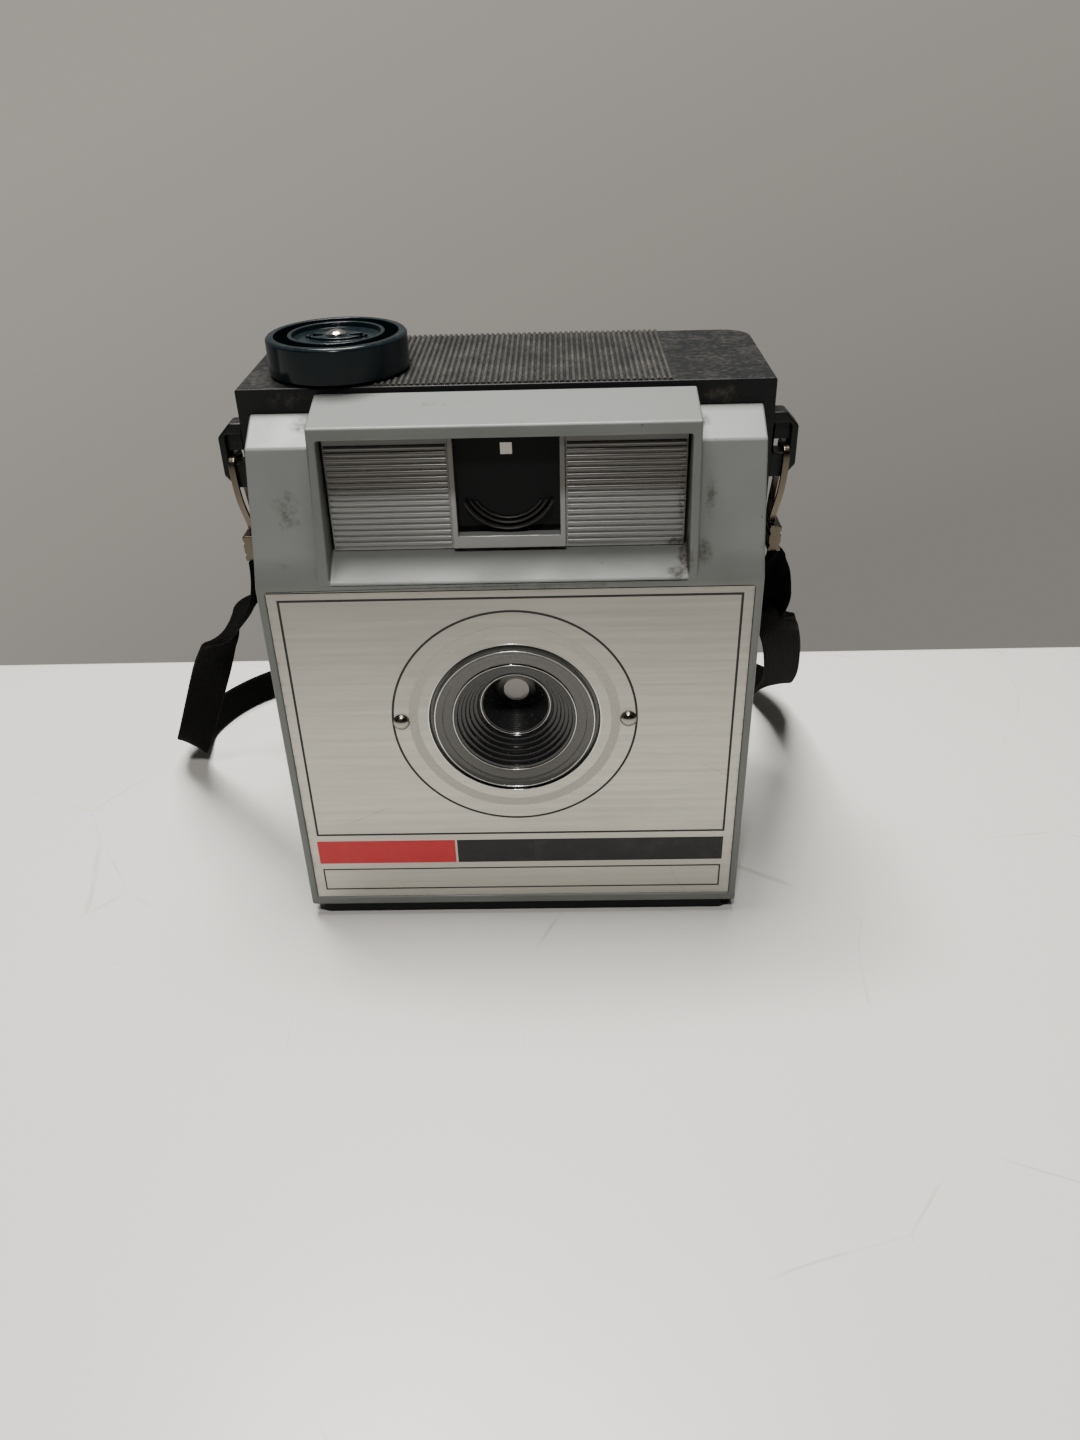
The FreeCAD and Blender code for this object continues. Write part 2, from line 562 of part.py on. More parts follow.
def finder_tube():
    """Square tapering tube from the front lens to the eye lens."""
    y0 = GRIP_Y + PANEL_T + 2.8
    y1 = BACK_Y - BODY_WALL - 0.2
    wall = 1.0
    shapes = []
    for grow in (wall, 0.0):
        front = rect_wire(WINDOW_X, WINDOW_Z, WINDOW_W / 2 - 0.8 + grow, WINDOW_H / 2 - 0.8 + grow,
                          y0 - (0.1 if not grow else 0))
        back = rect_wire(0, EYE_Z, 3.4 + grow, 3.4 + grow, y1 + (0.1 if not grow else 0))
        shapes.append(Part.makeLoft([front, back], True, True))
    return shapes[0].cut(shapes[1])


def rect_wire(x, z, half_w, half_h, y):
    """A rectangle across Y."""
    corners = [V(x - half_w, y, z - half_h), V(x + half_w, y, z - half_h), V(x + half_w, y, z + half_h),
               V(x - half_w, y, z + half_h)]
    return Part.makePolygon(corners + corners[:1])


def finder_eye_lens():
    """Small round eye lens in the upper rear wall."""
    y0 = BACK_Y - BODY_WALL + 0.2
    return rod(EYE_R, V(0, y0, EYE_Z), 1.4, Y).cut(Part.makeSphere(20.0, V(0, y0 - 19.7, EYE_Z)))


def finder_eyepiece():
    """Raised square surround with a round opening, behind the eye lens."""
    pad = box(-7.0, 7.0, BACK_Y, BACK_Y + 1.2, EYE_Z - 6.0, EYE_Z + 6.0)
    pad = pad.makeFillet(1.0, [e for e in pad.Edges if e.BoundBox.YLength > 1.0])
    return pad.cut(cone(2.6, 3.8, V(0, BACK_Y, EYE_Z), 1.2, Y))


# ---------------------------------------------------------------- winder
def knob_z():
    """Underside of the winding knob."""
    return BODY_HEIGHT + KNOB_GAP


def wind_knob():
    """Round cup with a fixed island, which takes a flash cube on its pin."""
    z0 = knob_z()
    cup = rod(KNOB_R, V(-SPOOL_X, AXIS_Y, z0), KNOB_H)
    cup = cup.makeChamfer(0.4, [e for e in cup.Edges if e.Length > 50 and e.BoundBox.ZMin > z0 + 1])
    groove = ring(KNOB_R - KNOB_WALL, ISLAND_R, V(-SPOOL_X, AXIS_Y, z0 + KNOB_FLOOR), KNOB_H)
    top = rod(ISLAND_R - 0.7, V(-SPOOL_X, AXIS_Y, z0 + KNOB_H - 0.9), 3)
    knob = cup.cut(groove).cut(top)
    lens = lens_outline(5.4, 2.9, z0 + KNOB_H - 0.9, 0.5)
    knob = knob.fuse(lens.translated(V(-SPOOL_X, AXIS_Y, 0)))
    for side in (-1, 1):
        bow = prism_z([(side * 2.3, -0.5), (side * 4.6, -1.2), (side * 4.6, 1.2), (side * 2.3, 0.5)],
                      z0 + KNOB_H - 1.6,
                      z0 + KNOB_H + 1)
        knob = knob.cut(bow.translated(V(-SPOOL_X, AXIS_Y, 0)))
    knob = knob.cut(rod(PIN_R, V(-SPOOL_X, AXIS_Y, z0 + 2.0), KNOB_H))
    return knob.cut(rod(SHAFT_R - 0.6, V(-SPOOL_X, AXIS_Y, z0 - 1), 3.0)).removeSplitter()


def lens_outline(half_length, half_width, z0, height):
    """A raised pad between two arcs."""
    a, b = V(-half_length, 0, z0), V(half_length, 0, z0)
    arcs = [Part.Arc(a, V(0, half_width, z0), b).toShape(), Part.Arc(b, V(0, -half_width, z0), a).toShape()]
    return Part.Face(Part.Wire(arcs)).extrude(V(0, 0, height))


def knob_pin():
    """Domed metal pin in the middle of the knob."""
    z0 = knob_z() + 2.0
    height = KNOB_H - 2.0 - 0.1
    pin = rod(PIN_R, V(-SPOOL_X, AXIS_Y, z0), height)
    dome = Part.makeSphere(2.4, V(-SPOOL_X, AXIS_Y, z0 + height + 0.6 - 2.4))
    cap = dome.common(rod(PIN_R, V(-SPOOL_X, AXIS_Y, z0 + height), 2))
    return pin.fuse(cap).removeSplitter()


def wind_key():
    """Shaft from the knob down to the take-up spool, with the blade in the spool's slot."""
    low = SPOOL_HIGH + 0.8
    shaft = rod(SHAFT_R, V(-SPOOL_X, AXIS_Y, low), knob_z() - low)
    stub = rod(SHAFT_R - 0.6, V(-SPOOL_X, AXIS_Y, knob_z()), 2.0)
    collar = rod(BUSH_R, V(-SPOOL_X, AXIS_Y, low), 1.4)
    blade = box(-SPOOL_X - 2.6, -SPOOL_X + 2.6, AXIS_Y - 0.6, AXIS_Y + 0.6, SPOOL_HIGH - 2.2, low)
    key = union([shaft, stub, collar, blade])
    groove_z = BODY_HEIGHT - DECK_T - BUSH_FLANGE - 1.5
    return key.cut(ring(SHAFT_R + 1, SHAFT_R - 0.4, V(-SPOOL_X, AXIS_Y, groove_z), 0.7))


def knob_bushing():
    """Flanged bush in the deck that the key turns in."""
    low = BODY_HEIGHT - DECK_T - BUSH_FLANGE
    bush = rod(BUSH_R - 0.02, V(-SPOOL_X, AXIS_Y, low), DECK_T + BUSH_FLANGE)
    bush = bush.fuse(rod(BUSH_R + 1.5, V(-SPOOL_X, AXIS_Y, low), BUSH_FLANGE))
    return bush.cut(rod(SHAFT_R + RUN_FIT, V(-SPOOL_X, AXIS_Y, low - 1), 8)).removeSplitter()


def key_circlip():
    """Split ring in the key's groove, under the bush."""
    groove_z = BODY_HEIGHT - DECK_T - BUSH_FLANGE - 1.5
    clip = ring(SHAFT_R + 1.2, SHAFT_R - 0.35, V(-SPOOL_X, AXIS_Y, groove_z + 0.05), 0.6)
    return clip.cut(box(-SPOOL_X - 1.0, -SPOOL_X + 1.0, AXIS_Y + 1.5, AXIS_Y + 6, groove_z - 1,
                        groove_z + 2))


def wrap_spring():
    """Coil round the key that lets it turn one way only, with its tail in a post."""
    return helix_spring(SHAFT_R + 0.15 + 0.35, 1.1, 5, 0.6, V(-SPOOL_X, AXIS_Y, LOFT_FLOOR_Z + 4.0), Z)


def spring_post():
    """Post on the loft floor beside the wrap spring."""
    x = -SPOOL_X - SHAFT_R - 3.2
    return box(x - 1.5, x + 0.6, AXIS_Y - 1.5, AXIS_Y + 1.5, LOFT_FLOOR_Z, LOFT_FLOOR_Z + 11.0)


def takeup_spool():
    """Spool on the knob's axis: core, two flanges, the key's slot and the film slot."""
    core = rod(SPOOL_CORE_R, V(-SPOOL_X, AXIS_Y, SPOOL_LOW), SPOOL_LEN)
    flanges = [rod(SPOOL_R, V(-SPOOL_X, AXIS_Y, z), SPOOL_FLANGE)
               for z in (SPOOL_LOW, SPOOL_HIGH - SPOOL_FLANGE)]
    spool = union([core] + flanges)
    spool = spool.cut(rod(STUD_R + RUN_FIT, V(-SPOOL_X, AXIS_Y, SPOOL_LOW - 1), 5.0))
    slot = box(-SPOOL_X - 3.0, -SPOOL_X + 3.0, AXIS_Y - 0.9, AXIS_Y + 0.9, SPOOL_HIGH - 2.8, SPOOL_HIGH + 1)
    film_slot = box(-SPOOL_X - 0.5, -SPOOL_X + 0.5, AXIS_Y - 5, AXIS_Y + 5, SPOOL_LOW + 6, SPOOL_HIGH - 6)
    return spool.cut(slot).cut(film_slot)


def spool_studs():
    """Two bottom studs, one under each spool place."""
    studs = []
    for side in (-1, 1):
        base = rod(3.5, V(side * SPOOL_X, AXIS_Y, FLOOR), SPOOL_LOW - FLOOR - 0.4)
        studs.append(base.fuse(rod(STUD_R, V(side * SPOOL_X, AXIS_Y, FLOOR),
                                   SPOOL_LOW - FLOOR + 3.2)).removeSplitter())
    return group(studs)


def supply_spring():
    """Bent leaf over the supply place, with the button that presses the spool."""
    z1 = CEILING_Z
    leaf = prism_y([(SPOOL_X + 12.0, z1), (SPOOL_X + 12.0, z1 - 0.4), (SPOOL_X, z1 - 2.6),
                    (SPOOL_X, z1 - 2.1),
                    (SPOOL_X + 6.5, z1)], AXIS_Y - 3.0, AXIS_Y + 3.0)
    button = rod(1.4, V(SPOOL_X + 0.8, AXIS_Y, z1 - 4.2), 2.0)
    return leaf.fuse(button).removeSplitter()


def light_box():
    """Tapering chamber from the shutter to the film gate, with curved film rails."""
    y0 = FILM_FRONT_Y
    wall = 1.2
    half = IMAGE / 2
    solids = []
    for grow in (wall, 0.0):
        over = 0.0 if grow else 0.1
        front = rect_wire(0, LENS_Z, 5.5 + grow, 5.5 + grow, y0 - over)
        back = rect_wire(0, LENS_Z, half + grow, half + grow, GATE_Y + over)
        solids.append(Part.makeLoft([front, back], True, True))
    chamber = solids[0].cut(solids[1])
    flange = box(-half - 2.6, half + 2.6, GATE_Y - 1.6, GATE_Y, LENS_Z - half - 4.2, LENS_Z + half + 4.2)
    flange = flange.cut(box(-half, half, GATE_Y - 3, GATE_Y + 1, LENS_Z - half, LENS_Z + half))
    foot = box(-11.0, 11.0, y0, y0 + 1.4, LENS_Z - 9.5, LENS_Z + 9.5)
    foot = foot.cut(box(-5.5, 5.5, y0 - 1, y0 + 3, LENS_Z - 5.5, LENS_Z + 5.5))
    rails = [rod(1.6, V(side * (half + 4.0), GATE_Y - 1.6, LENS_Z - half - 4.2), IMAGE + 8.4)
             for side in (-1, 1)]
    piece = union([chamber, flange, foot] + rails)
    return piece.cut(solids[1])


# ---------------------------------------------------------------- flash supply
def battery_cells():
    """Two small dry cells, one up and one down."""
    cells = []
    for i, up in ((-1, True), (1, False)):
        x = CELL_X + i * CELL_PITCH / 2
        can = rod(CELL_R, V(x, cell_y(), CELL_Z + (0 if up else 1.0)), CELL_LEN - 1.0)
        nub_z = CELL_Z + CELL_LEN - 1.0 if up else CELL_Z
        cells.append(can.fuse(rod(1.9, V(x, cell_y(), nub_z), 1.0)).removeSplitter())
    return group(cells)


def battery_contacts():
    """Two upper leaves and the bridge on the door's inner side."""
    top = CELL_Z + CELL_LEN
    leaves = [box(CELL_X + i * CELL_PITCH / 2 - 3.5, CELL_X + i * CELL_PITCH / 2 + 3.5, cell_y() - 3.5,
                  cell_y() + 3.5,
                  top + 0.1, top + 0.6) for i in (-1, 1)]
    return group(leaves)


def contact_bridge():
    """Bridge spring under the cells, carried by the door."""
    z0 = DOOR_TOP - BRIDGE_T
    x0, x1 = CELL_X - CELL_PITCH / 2 - 3.0, CELL_X + CELL_PITCH / 2 + 3.0
    return box(x0, x1, cell_y() - 2.5, cell_y() + 2.5, z0, z0 + BRIDGE_T)


def battery_rack():
    """Moulded rack round the cells: back wall, side wall and top shelf."""
    low, high = SKIRT + FRONT_WALL + 0.2, CELL_Z + CELL_LEN + 2.4
    x0 = CELL_X - CELL_PITCH / 2 - CELL_R - 0.6
    y1 = SPIGOT_Y - 0.1
    wall = box(x0 - 0.8, x0, FRONT_Y + FRONT_WALL + 1.4, y1, low, high)
    shelf = box(x0 - 0.8, CELL_X + CELL_PITCH / 2 + CELL_R, FRONT_Y + FRONT_WALL + 1.4, y1, high - 1.6,
                high)
    return wall.fuse(shelf).removeSplitter()


def battery_door():
    """Sliding door in the tray, with side rails, grip grooves and a pocket for the bridge."""
    x0, x1 = CELL_X - DOOR_W / 2, SKIRT_WIDTH / 2
    half = DOOR_D / 2
    door = box(x0, x1, cell_y() - half, cell_y() + half, DOOR_STEP, DOOR_TOP)
    half -= DOOR_RAIL
    door = door.fuse(box(x0, x1, cell_y() - half, cell_y() + half, DOOR_LOW, DOOR_STEP))
    for i in range(5):
        x = x0 + 4.0 + i * 1.8
        door = door.cut(box(x, x + 0.8, cell_y() - half + 1.5, cell_y() + half - 1.5, DOOR_LOW - 1,
                            DOOR_LOW + 0.5))
    return door.cut(contact_bridge()).removeSplitter()


def flash_contacts():
    """Two leaves that reach from the loft up to the key, feeding the cube's socket."""
    leaves = []
    for side in (-1, 1):
        x = -SPOOL_X + side * (SHAFT_R + 5.6)
        z1 = BODY_HEIGHT - DECK_T - 0.2
        foot = box(x - 1.6, x + 1.6, AXIS_Y - 2.0, AXIS_Y + 2.0, z1 - 0.5, z1)
        tail = box(x - 0.25, x + 0.25, AXIS_Y - 2.0, AXIS_Y + 2.0, z1 - 7.0, z1)
        leaves.append(foot.fuse(tail).removeSplitter())
    return group(leaves)


def sync_contact():
    """Pair of leaves by the blade that fires the flash."""
    x = 13.5
    return group([box(x + i * 1.4, x + i * 1.4 + 0.4, LEVER_Y - 1.0, PLATE_FACE_Y, LENS_Z + 4.0,
                      LENS_Z + 12.0) for i in (0, 1)])


# ---------------------------------------------------------------- removable back
def rear_cover():
    """Shell that closes the film compartment, with a light-tight lip."""
    half = REAR_WIDTH / 2
    outer = box(-half, half, BACK_Y, REAR_Y, 0.3, REAR_HEIGHT)
    outer = outer.makeFillet(BODY_CORNER_R, upright_edges(outer, lambda c: c.y > BACK_Y + 5))
    top = [e for e in outer.Edges if e.BoundBox.ZMin > REAR_HEIGHT - 0.01 and e.BoundBox.YMax > BACK_Y + 1
           and e.BoundBox.XLength > 20]
    outer = outer.makeChamfer(2.5, top)
    inner = box(-half + REAR_WALL, half - REAR_WALL, BACK_Y - 1, REAR_Y - REAR_WALL, FLOOR,
                REAR_HEIGHT - REAR_WALL - 1.2)
    inner = inner.makeFillet(BODY_CORNER_R - REAR_WALL, upright_edges(inner, lambda c: c.y > BACK_Y + 5))
    cover = outer.cut(inner)
    room = BODY_HALF - BODY_WALL - SLIDE_FIT
    lip = box(-room, room, BACK_Y - 2.0, BACK_Y + 0.6, FLOOR + SLIDE_FIT, CEILING_Z - SLIDE_FIT)
    lip = lip.cut(box(-room + 1.2, room - 1.2, BACK_Y - 3, BACK_Y + 2, FLOOR + SLIDE_FIT + 1.2,
                      CEILING_Z - SLIDE_FIT - 1.2))
    cover = cover.fuse(lip)
    cover = cover.cut(rod(WINDOW_R, V(0, REAR_Y - REAR_WALL - 1, LENS_Z), REAR_WALL + 2, Y))
    cover = cover.cut(box(-12, 12, BACK_Y - 3, BACK_Y + 4, FLOOR - 0.5, FLOOR + 2.2))
    return cover.removeSplitter()


def red_window():
    """Red filter disc behind the frame-number window."""
    return rod(WINDOW_R + 1.2, V(0, REAR_Y - REAR_WALL - 0.7, LENS_Z), 0.7, Y)


def pressure_plate():
    """Flat plate that keeps the film on the gate."""
    half = IMAGE / 2 + 4.0
    y0 = GATE_Y + 0.5
    plate = box(-half, half, y0, y0 + 0.8, LENS_Z - half, LENS_Z + half)
    plate = plate.makeFillet(2.0, [e for e in plate.Edges if e.BoundBox.YLength > 0.5])
    return plate.cut(rod(WINDOW_R, V(0, y0 - 1, LENS_Z), 3, Y))


def pressure_springs():
    """Two bowed leaves between the plate and the back."""
    y0, y1 = GATE_Y + 1.4, REAR_Y - REAR_WALL - 0.1
    leaves = []
    for side in (-1, 1):
        x0, x1 = sorted((side * 10.0, side * 16.0))
        z0, z1 = LENS_Z - 16.0, LENS_Z + 16.0
        mid = (z0 + z1) / 2
        outline = [(y0, z0), (y0, z0 + 6), (y1 - 0.4, mid - 5), (y1 - 0.4, mid + 5), (y0, z1 - 6), (y0, z1),
                   (y0 + 0.4, z1), (y0 + 0.4, z1 - 5.8), (y1, mid + 5.2), (y1, mid - 5.2),
                   (y0 + 0.4, z0 + 5.8), (y0 + 0.4, z0)]
        leaves.append(prism_x(outline, x0, x1))
    return group(leaves)


def rear_latch():
    """Turn button in the floor's pocket, with the shaft through to its arm."""
    disc = rod(LATCH_R, V(0, LATCH_Y, 0.3), 1.2)
    groove = box(-LATCH_R, LATCH_R, LATCH_Y - 1.0, LATCH_Y + 1.0, -1, 0.9)
    shaft = rod(LATCH_SHAFT_R, V(0, LATCH_Y, 1.2), FLOOR - 1.2 + 1.3)
    return disc.cut(groove).fuse(shaft).removeSplitter()


def latch_arm():
    """Arm on the latch's shaft that lies in the back's notch when shut."""
    z0 = FLOOR + 0.35
    arm = box(-2.6, 2.6, LATCH_Y, BACK_Y + 2.4, z0, z0 + 0.95)
    hub = rod(4.0, V(0, LATCH_Y, z0), 0.95)
    return arm.fuse(hub).cut(rod(LATCH_SHAFT_R, V(0, LATCH_Y, z0 - 1), 4)).removeSplitter()


# ---------------------------------------------------------------- strap


def clip(side):
    """Strip loop that hangs in the lug's slot and grips the ferrule."""
    x0, x1 = sorted((side * (CLIP_X - CLIP_W / 2), side * (CLIP_X + CLIP_W / 2)))
    gap = LUG_T / 2 + 0.5
    top = LUG_HOLE_LOW + 0.7 + CLIP_T
    out = [(LUG_Y - gap - CLIP_T, top - 0.5), (LUG_Y - gap, top), (LUG_Y + gap, top),
           (LUG_Y + gap + CLIP_T, top - 0.5),
           (LUG_Y + gap + CLIP_T, LUG_LOW - 1.5), (LUG_Y + 1.9, CLIP_LOW), (LUG_Y - 1.9, CLIP_LOW),
           (LUG_Y - gap - CLIP_T, LUG_LOW - 1.5)]
    inner = [(LUG_Y - gap, top - CLIP_T), (LUG_Y + gap, top - CLIP_T), (LUG_Y + gap, LUG_LOW - 1.6),
             (LUG_Y + 1.0, CLIP_LOW + CLIP_T), (LUG_Y - 1.0, CLIP_LOW + CLIP_T),
             (LUG_Y - gap, LUG_LOW - 1.6)]
    return prism_x(out, x0, x1).cut(prism_x(inner, x0 - 1, x1 + 1))


def ferrule(side):
    """Crimped end on the strap, under the clip."""
    x = side * CLIP_X
    block = box(x - 1.5, x + 1.5, LUG_Y - 3.2, LUG_Y + 3.2, CLIP_LOW - FERRULE_H, CLIP_LOW)
    return block.makeFillet(0.6, [e for e in block.Edges if e.BoundBox.ZLength > 4])


def tube(points):
    """Round cord along straight runs joined by tangent arcs; returns it and prints its radii."""
    points = [V(*p) for p in points]
    edges, radii, here = [], [], points[0]
    for a, b, c in zip(points, points[1:], points[2:]):
        u, w = (b - a).normalize(), (c - b).normalize()
        turn = math.acos(max(-1.0, min(1.0, u.dot(w))))
        reach = 0.45 * min((b - a).Length, (c - b).Length)
        radii.append(reach / math.tan(turn / 2))
        start, end = b - u * reach, b + w * reach
        inward = (w - u).normalize()
        middle = b + inward * (radii[-1] / math.cos(turn / 2) - radii[-1])
        edges += [Part.LineSegment(here, start).toShape(), Part.Arc(start, middle, end).toShape()]
        here = end
    edges.append(Part.LineSegment(here, points[-1]).toShape())
    path = Part.Wire(edges)
    section = Part.Wire(Part.makeCircle(RIBBON_R, points[0], (points[1] - points[0]).normalize()))
    solid = path.makePipeShell([section], True, False)
    return solid, path.Length, radii


def strap(name):
    """One free end of the strap."""
    solid, length, radii = tube(ROUTES[name])
    expected = math.pi * RIBBON_R ** 2 * length
    print(name, "length", round(length, 1), "radii", [round(r, 1) for r in radii],
          "volume over section times length", round(solid.Volume / expected, 4))
    return solid


NODES = {
    "main_body": main_body, "strap_lug_left": lambda: strap_lug(-1),
    "strap_lug_right": lambda: strap_lug(1), "front_cover": front_cover, "face_plate": face_plate,
    "plate_rivets": plate_rivets, "lens_guard": lens_guard, "lens_funnel": lens_funnel,
    "lens_mount": lens_mount, "taking_lens": taking_lens, "lens_retainer": lens_retainer,
    "diaphragm": diaphragm, "shutter_plate": shutter_plate, "shutter_pivots": shutter_pivots,
    "shutter_blade": shutter_blade, "release_lever": release_lever, "shutter_spring": shutter_spring,
    "body_screws": body_screws, "finder_panel": finder_panel, "finder_front_lens": finder_front_lens,
    "finder_tube": finder_tube, "finder_eye_lens": finder_eye_lens, "finder_eyepiece": finder_eyepiece,
    "wind_knob": wind_knob, "knob_pin": knob_pin, "wind_key": wind_key, "knob_bushing": knob_bushing,
    "key_circlip": key_circlip, "wrap_spring": wrap_spring, "spring_post": spring_post,
    "takeup_spool": takeup_spool, "spool_studs": spool_studs, "supply_spring": supply_spring,
    "light_box": light_box, "battery_cells": battery_cells, "battery_contacts": battery_contacts,
    "contact_bridge": contact_bridge, "battery_rack": battery_rack, "battery_door": battery_door,
    "flash_contacts": flash_contacts, "sync_contact": sync_contact, "rear_cover": rear_cover,
    "red_window": red_window, "pressure_plate": pressure_plate, "pressure_springs": pressure_springs,
    "rear_latch": rear_latch, "latch_arm": latch_arm, "clip_left": lambda: clip(-1),
    "clip_right": lambda: clip(1), "ferrule_left": lambda: ferrule(-1),
    "ferrule_right": lambda: ferrule(1), "strap_left": lambda: strap("strap_left"),
    "strap_right": lambda: strap("strap_right"),
}

os.makedirs("parts", exist_ok=True)
for node, make in NODES.items():
    shape = make()
    solids = shape.Solids
    print(node, len(solids), "valid" if shape.isValid() else "INVALID",
          round(sum(s.Volume for s in solids), 1))
    shape.exportStep("parts/" + node + ".step")
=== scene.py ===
"""Looks of a moulded box camera with its carrying strap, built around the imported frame."""

import logging
import math
from contextlib import contextmanager
from dataclasses import dataclass
from enum import Enum
from typing import Iterator, Sequence

import bpy
from mathutils import Matrix, Vector


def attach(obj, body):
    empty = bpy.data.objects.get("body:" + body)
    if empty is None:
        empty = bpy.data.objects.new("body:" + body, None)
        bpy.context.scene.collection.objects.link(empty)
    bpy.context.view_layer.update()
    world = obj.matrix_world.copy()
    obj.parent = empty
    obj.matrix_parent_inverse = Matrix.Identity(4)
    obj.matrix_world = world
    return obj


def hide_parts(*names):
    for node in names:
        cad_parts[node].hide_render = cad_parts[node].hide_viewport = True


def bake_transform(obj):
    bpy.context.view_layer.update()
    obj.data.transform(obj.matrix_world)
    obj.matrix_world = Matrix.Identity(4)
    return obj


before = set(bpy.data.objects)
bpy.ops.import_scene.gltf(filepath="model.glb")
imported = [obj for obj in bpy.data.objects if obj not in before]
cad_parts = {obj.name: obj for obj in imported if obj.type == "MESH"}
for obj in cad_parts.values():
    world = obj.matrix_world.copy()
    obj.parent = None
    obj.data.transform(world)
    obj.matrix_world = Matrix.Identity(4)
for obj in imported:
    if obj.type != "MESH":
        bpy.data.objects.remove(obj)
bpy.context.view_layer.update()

LOG = logging.getLogger("box_camera")
MM = 0.001
WELD = 2e-6
Point = tuple[float, float, float]
Colour = tuple[float, float, float]

# Places shared by the sub-assemblies, in millimetres in the frame of the case.
FRONT_Y = -31.25
JOINT_Y = -16.55
GRIP_Y = -25.25
BACK_Y = 17.75
REAR_Y = 31.25
LENS_Z = 46.75
DECK_Z = 103.5
KNOB_X, KNOB_Y = -29.0, -5.45
PLATE_Y = -31.05


class Axis(Enum):
    """A direction of the case."""

    Y = (0.0, 1.0, 0.0)
    Z = (0.0, 0.0, 1.0)


# ---------------------------------------------------------------- modelling bench
def mm(*values: float) -> Vector:
    """A point or length in metres from millimetres."""
    return Vector(values) * MM


def only(piece: bpy.types.Object) -> None:
    """Selects one object and makes it active."""
    bpy.ops.object.select_all(action="DESELECT")
    piece.select_set(True)
    bpy.context.view_layer.objects.active = piece


@contextmanager
def editing(piece: bpy.types.Object) -> Iterator[None]:
    """Edit mode on one object with everything in it selected."""
    only(piece)
    bpy.ops.object.mode_set(mode="EDIT")
    bpy.ops.mesh.select_all(action="SELECT")
    yield
    bpy.ops.object.mode_set(mode="OBJECT")


def face_out() -> None:
    """In edit mode, turns every face of the mesh outward."""
    bpy.ops.mesh.select_all(action="SELECT")
    bpy.ops.mesh.normals_make_consistent(inside=False)


def pull(by: Vector) -> None:
    """In edit mode, pulls the selected faces into a closed solid."""
    bpy.ops.mesh.extrude_region_move(TRANSFORM_OT_translate={"value": by})
    face_out()


def modify(piece: bpy.types.Object, kind: str, **settings: object) -> None:
    """Adds a modifier and applies it.

    Args:
        piece: the object.
        kind: the modifier's type.
        **settings: its properties.
    """
    modifier = piece.modifiers.new(kind.lower(), kind)
    for key, value in settings.items():
        setattr(modifier, key, value)
    only(piece)
    bpy.ops.object.modifier_apply(modifier=modifier.name)


def settle(piece: bpy.types.Object) -> None:
    """Puts the object's place, turn and size into its mesh."""
    only(piece)
    bpy.ops.object.transform_apply(location=True, rotation=True, scale=True)


def draw(name: str, points: Sequence[Sequence[float]], fill: bool = False) -> bpy.types.Object:
    """Draws a chain of edges, one vertex pulled from the last.

    Args:
        name: the object's name.
        points: the chain's points in millimetres.
        fill: close the chain with a face.

    Returns:
        The new object.
    """
    bpy.ops.object.select_all(action="DESELECT")
    bpy.ops.mesh.primitive_plane_add(size=MM)
    piece = bpy.context.object
    piece.name = name
    chain = [mm(*point) for point in points]
    with editing(piece):
        bpy.ops.mesh.merge(type="CENTER")
        bpy.ops.transform.translate(value=chain[0])
        for here, there in zip(chain, chain[1:]):
            bpy.ops.mesh.extrude_vertices_move(TRANSFORM_OT_translate={"value": there - here})
        bpy.ops.mesh.select_all(action="SELECT")
        if fill:
            bpy.ops.mesh.edge_face_add()
    return piece


def pulled(name: str, points: Sequence[Sequence[float]], by: Sequence[float]) -> bpy.types.Object:
    """A closed outline pulled straight into a solid.

    Args:
        name: the object's name.
        points: the outline in millimetres.
        by: the pull in millimetres.

    Returns:
        The new object.
    """
    piece = draw(name, points, fill=True)
    with editing(piece):
        pull(mm(*by))
    return piece


def turned(name: str, profile: Sequence[tuple[float, float]], centre: Point, axis: Axis,
           steps: int = 96, closed: bool = True) -> bpy.types.Object:
    """A profile turned round an axis.

    Args:
        name: the object's name.
        profile: radius and distance along the axis, in millimetres.
        centre: where the axis starts, in millimetres.
        axis: the axis, Y or Z.
        steps: facets round the turn.
        closed: the profile is a ring, else it runs from axis to axis.

    Returns:
        The new object.
    """
    along = Vector(axis.value)
    points = [Vector(centre) + Vector((1.0, 0.0, 0.0)) * radius + along * depth for radius, depth in profile]
    piece = draw(name, points + points[:1] if closed else points)
    with editing(piece):
        bpy.ops.mesh.spin(steps=steps, angle=math.tau, center=mm(*centre), axis=along)
        bpy.ops.mesh.select_all(action="SELECT")
        bpy.ops.mesh.remove_doubles(threshold=WELD)
        face_out()
    return piece


def block(name: str, low: Sequence[float], high: Sequence[float]) -> bpy.types.Object:
    """A block between two corners in millimetres."""
    size = [b - a for a, b in zip(low, high)]
    bpy.ops.object.select_all(action="DESELECT")
    bpy.ops.mesh.primitive_cube_add(size=1, location=mm(*[(a + b) / 2 for a, b in zip(low, high)]))
    piece = bpy.context.object
    piece.name = name
    piece.scale = mm(*size)
    settle(piece)
    return piece


def cut(piece: bpy.types.Object, tool: bpy.types.Object, operation: str = "DIFFERENCE") -> None:
    """Cuts a tool out of a piece, or joins it on, and removes the tool."""
    modify(piece, "BOOLEAN", object=tool, operation=operation, solver="EXACT")
    bpy.data.objects.remove(tool, do_unlink=True)


def joined(name: str, pieces: Sequence[bpy.types.Object]) -> bpy.types.Object:
    """Makes one object of several."""
    only(pieces[0])
    for piece in pieces[1:]:
        piece.select_set(True)
    bpy.ops.object.join()
    pieces[0].name = name
    return pieces[0]


def smooth(piece: bpy.types.Object, degrees: float = 35.0) -> None:
    """Smooth shading across shallow edges."""
    only(piece)
    bpy.ops.object.shade_smooth_by_angle(angle=math.radians(degrees))


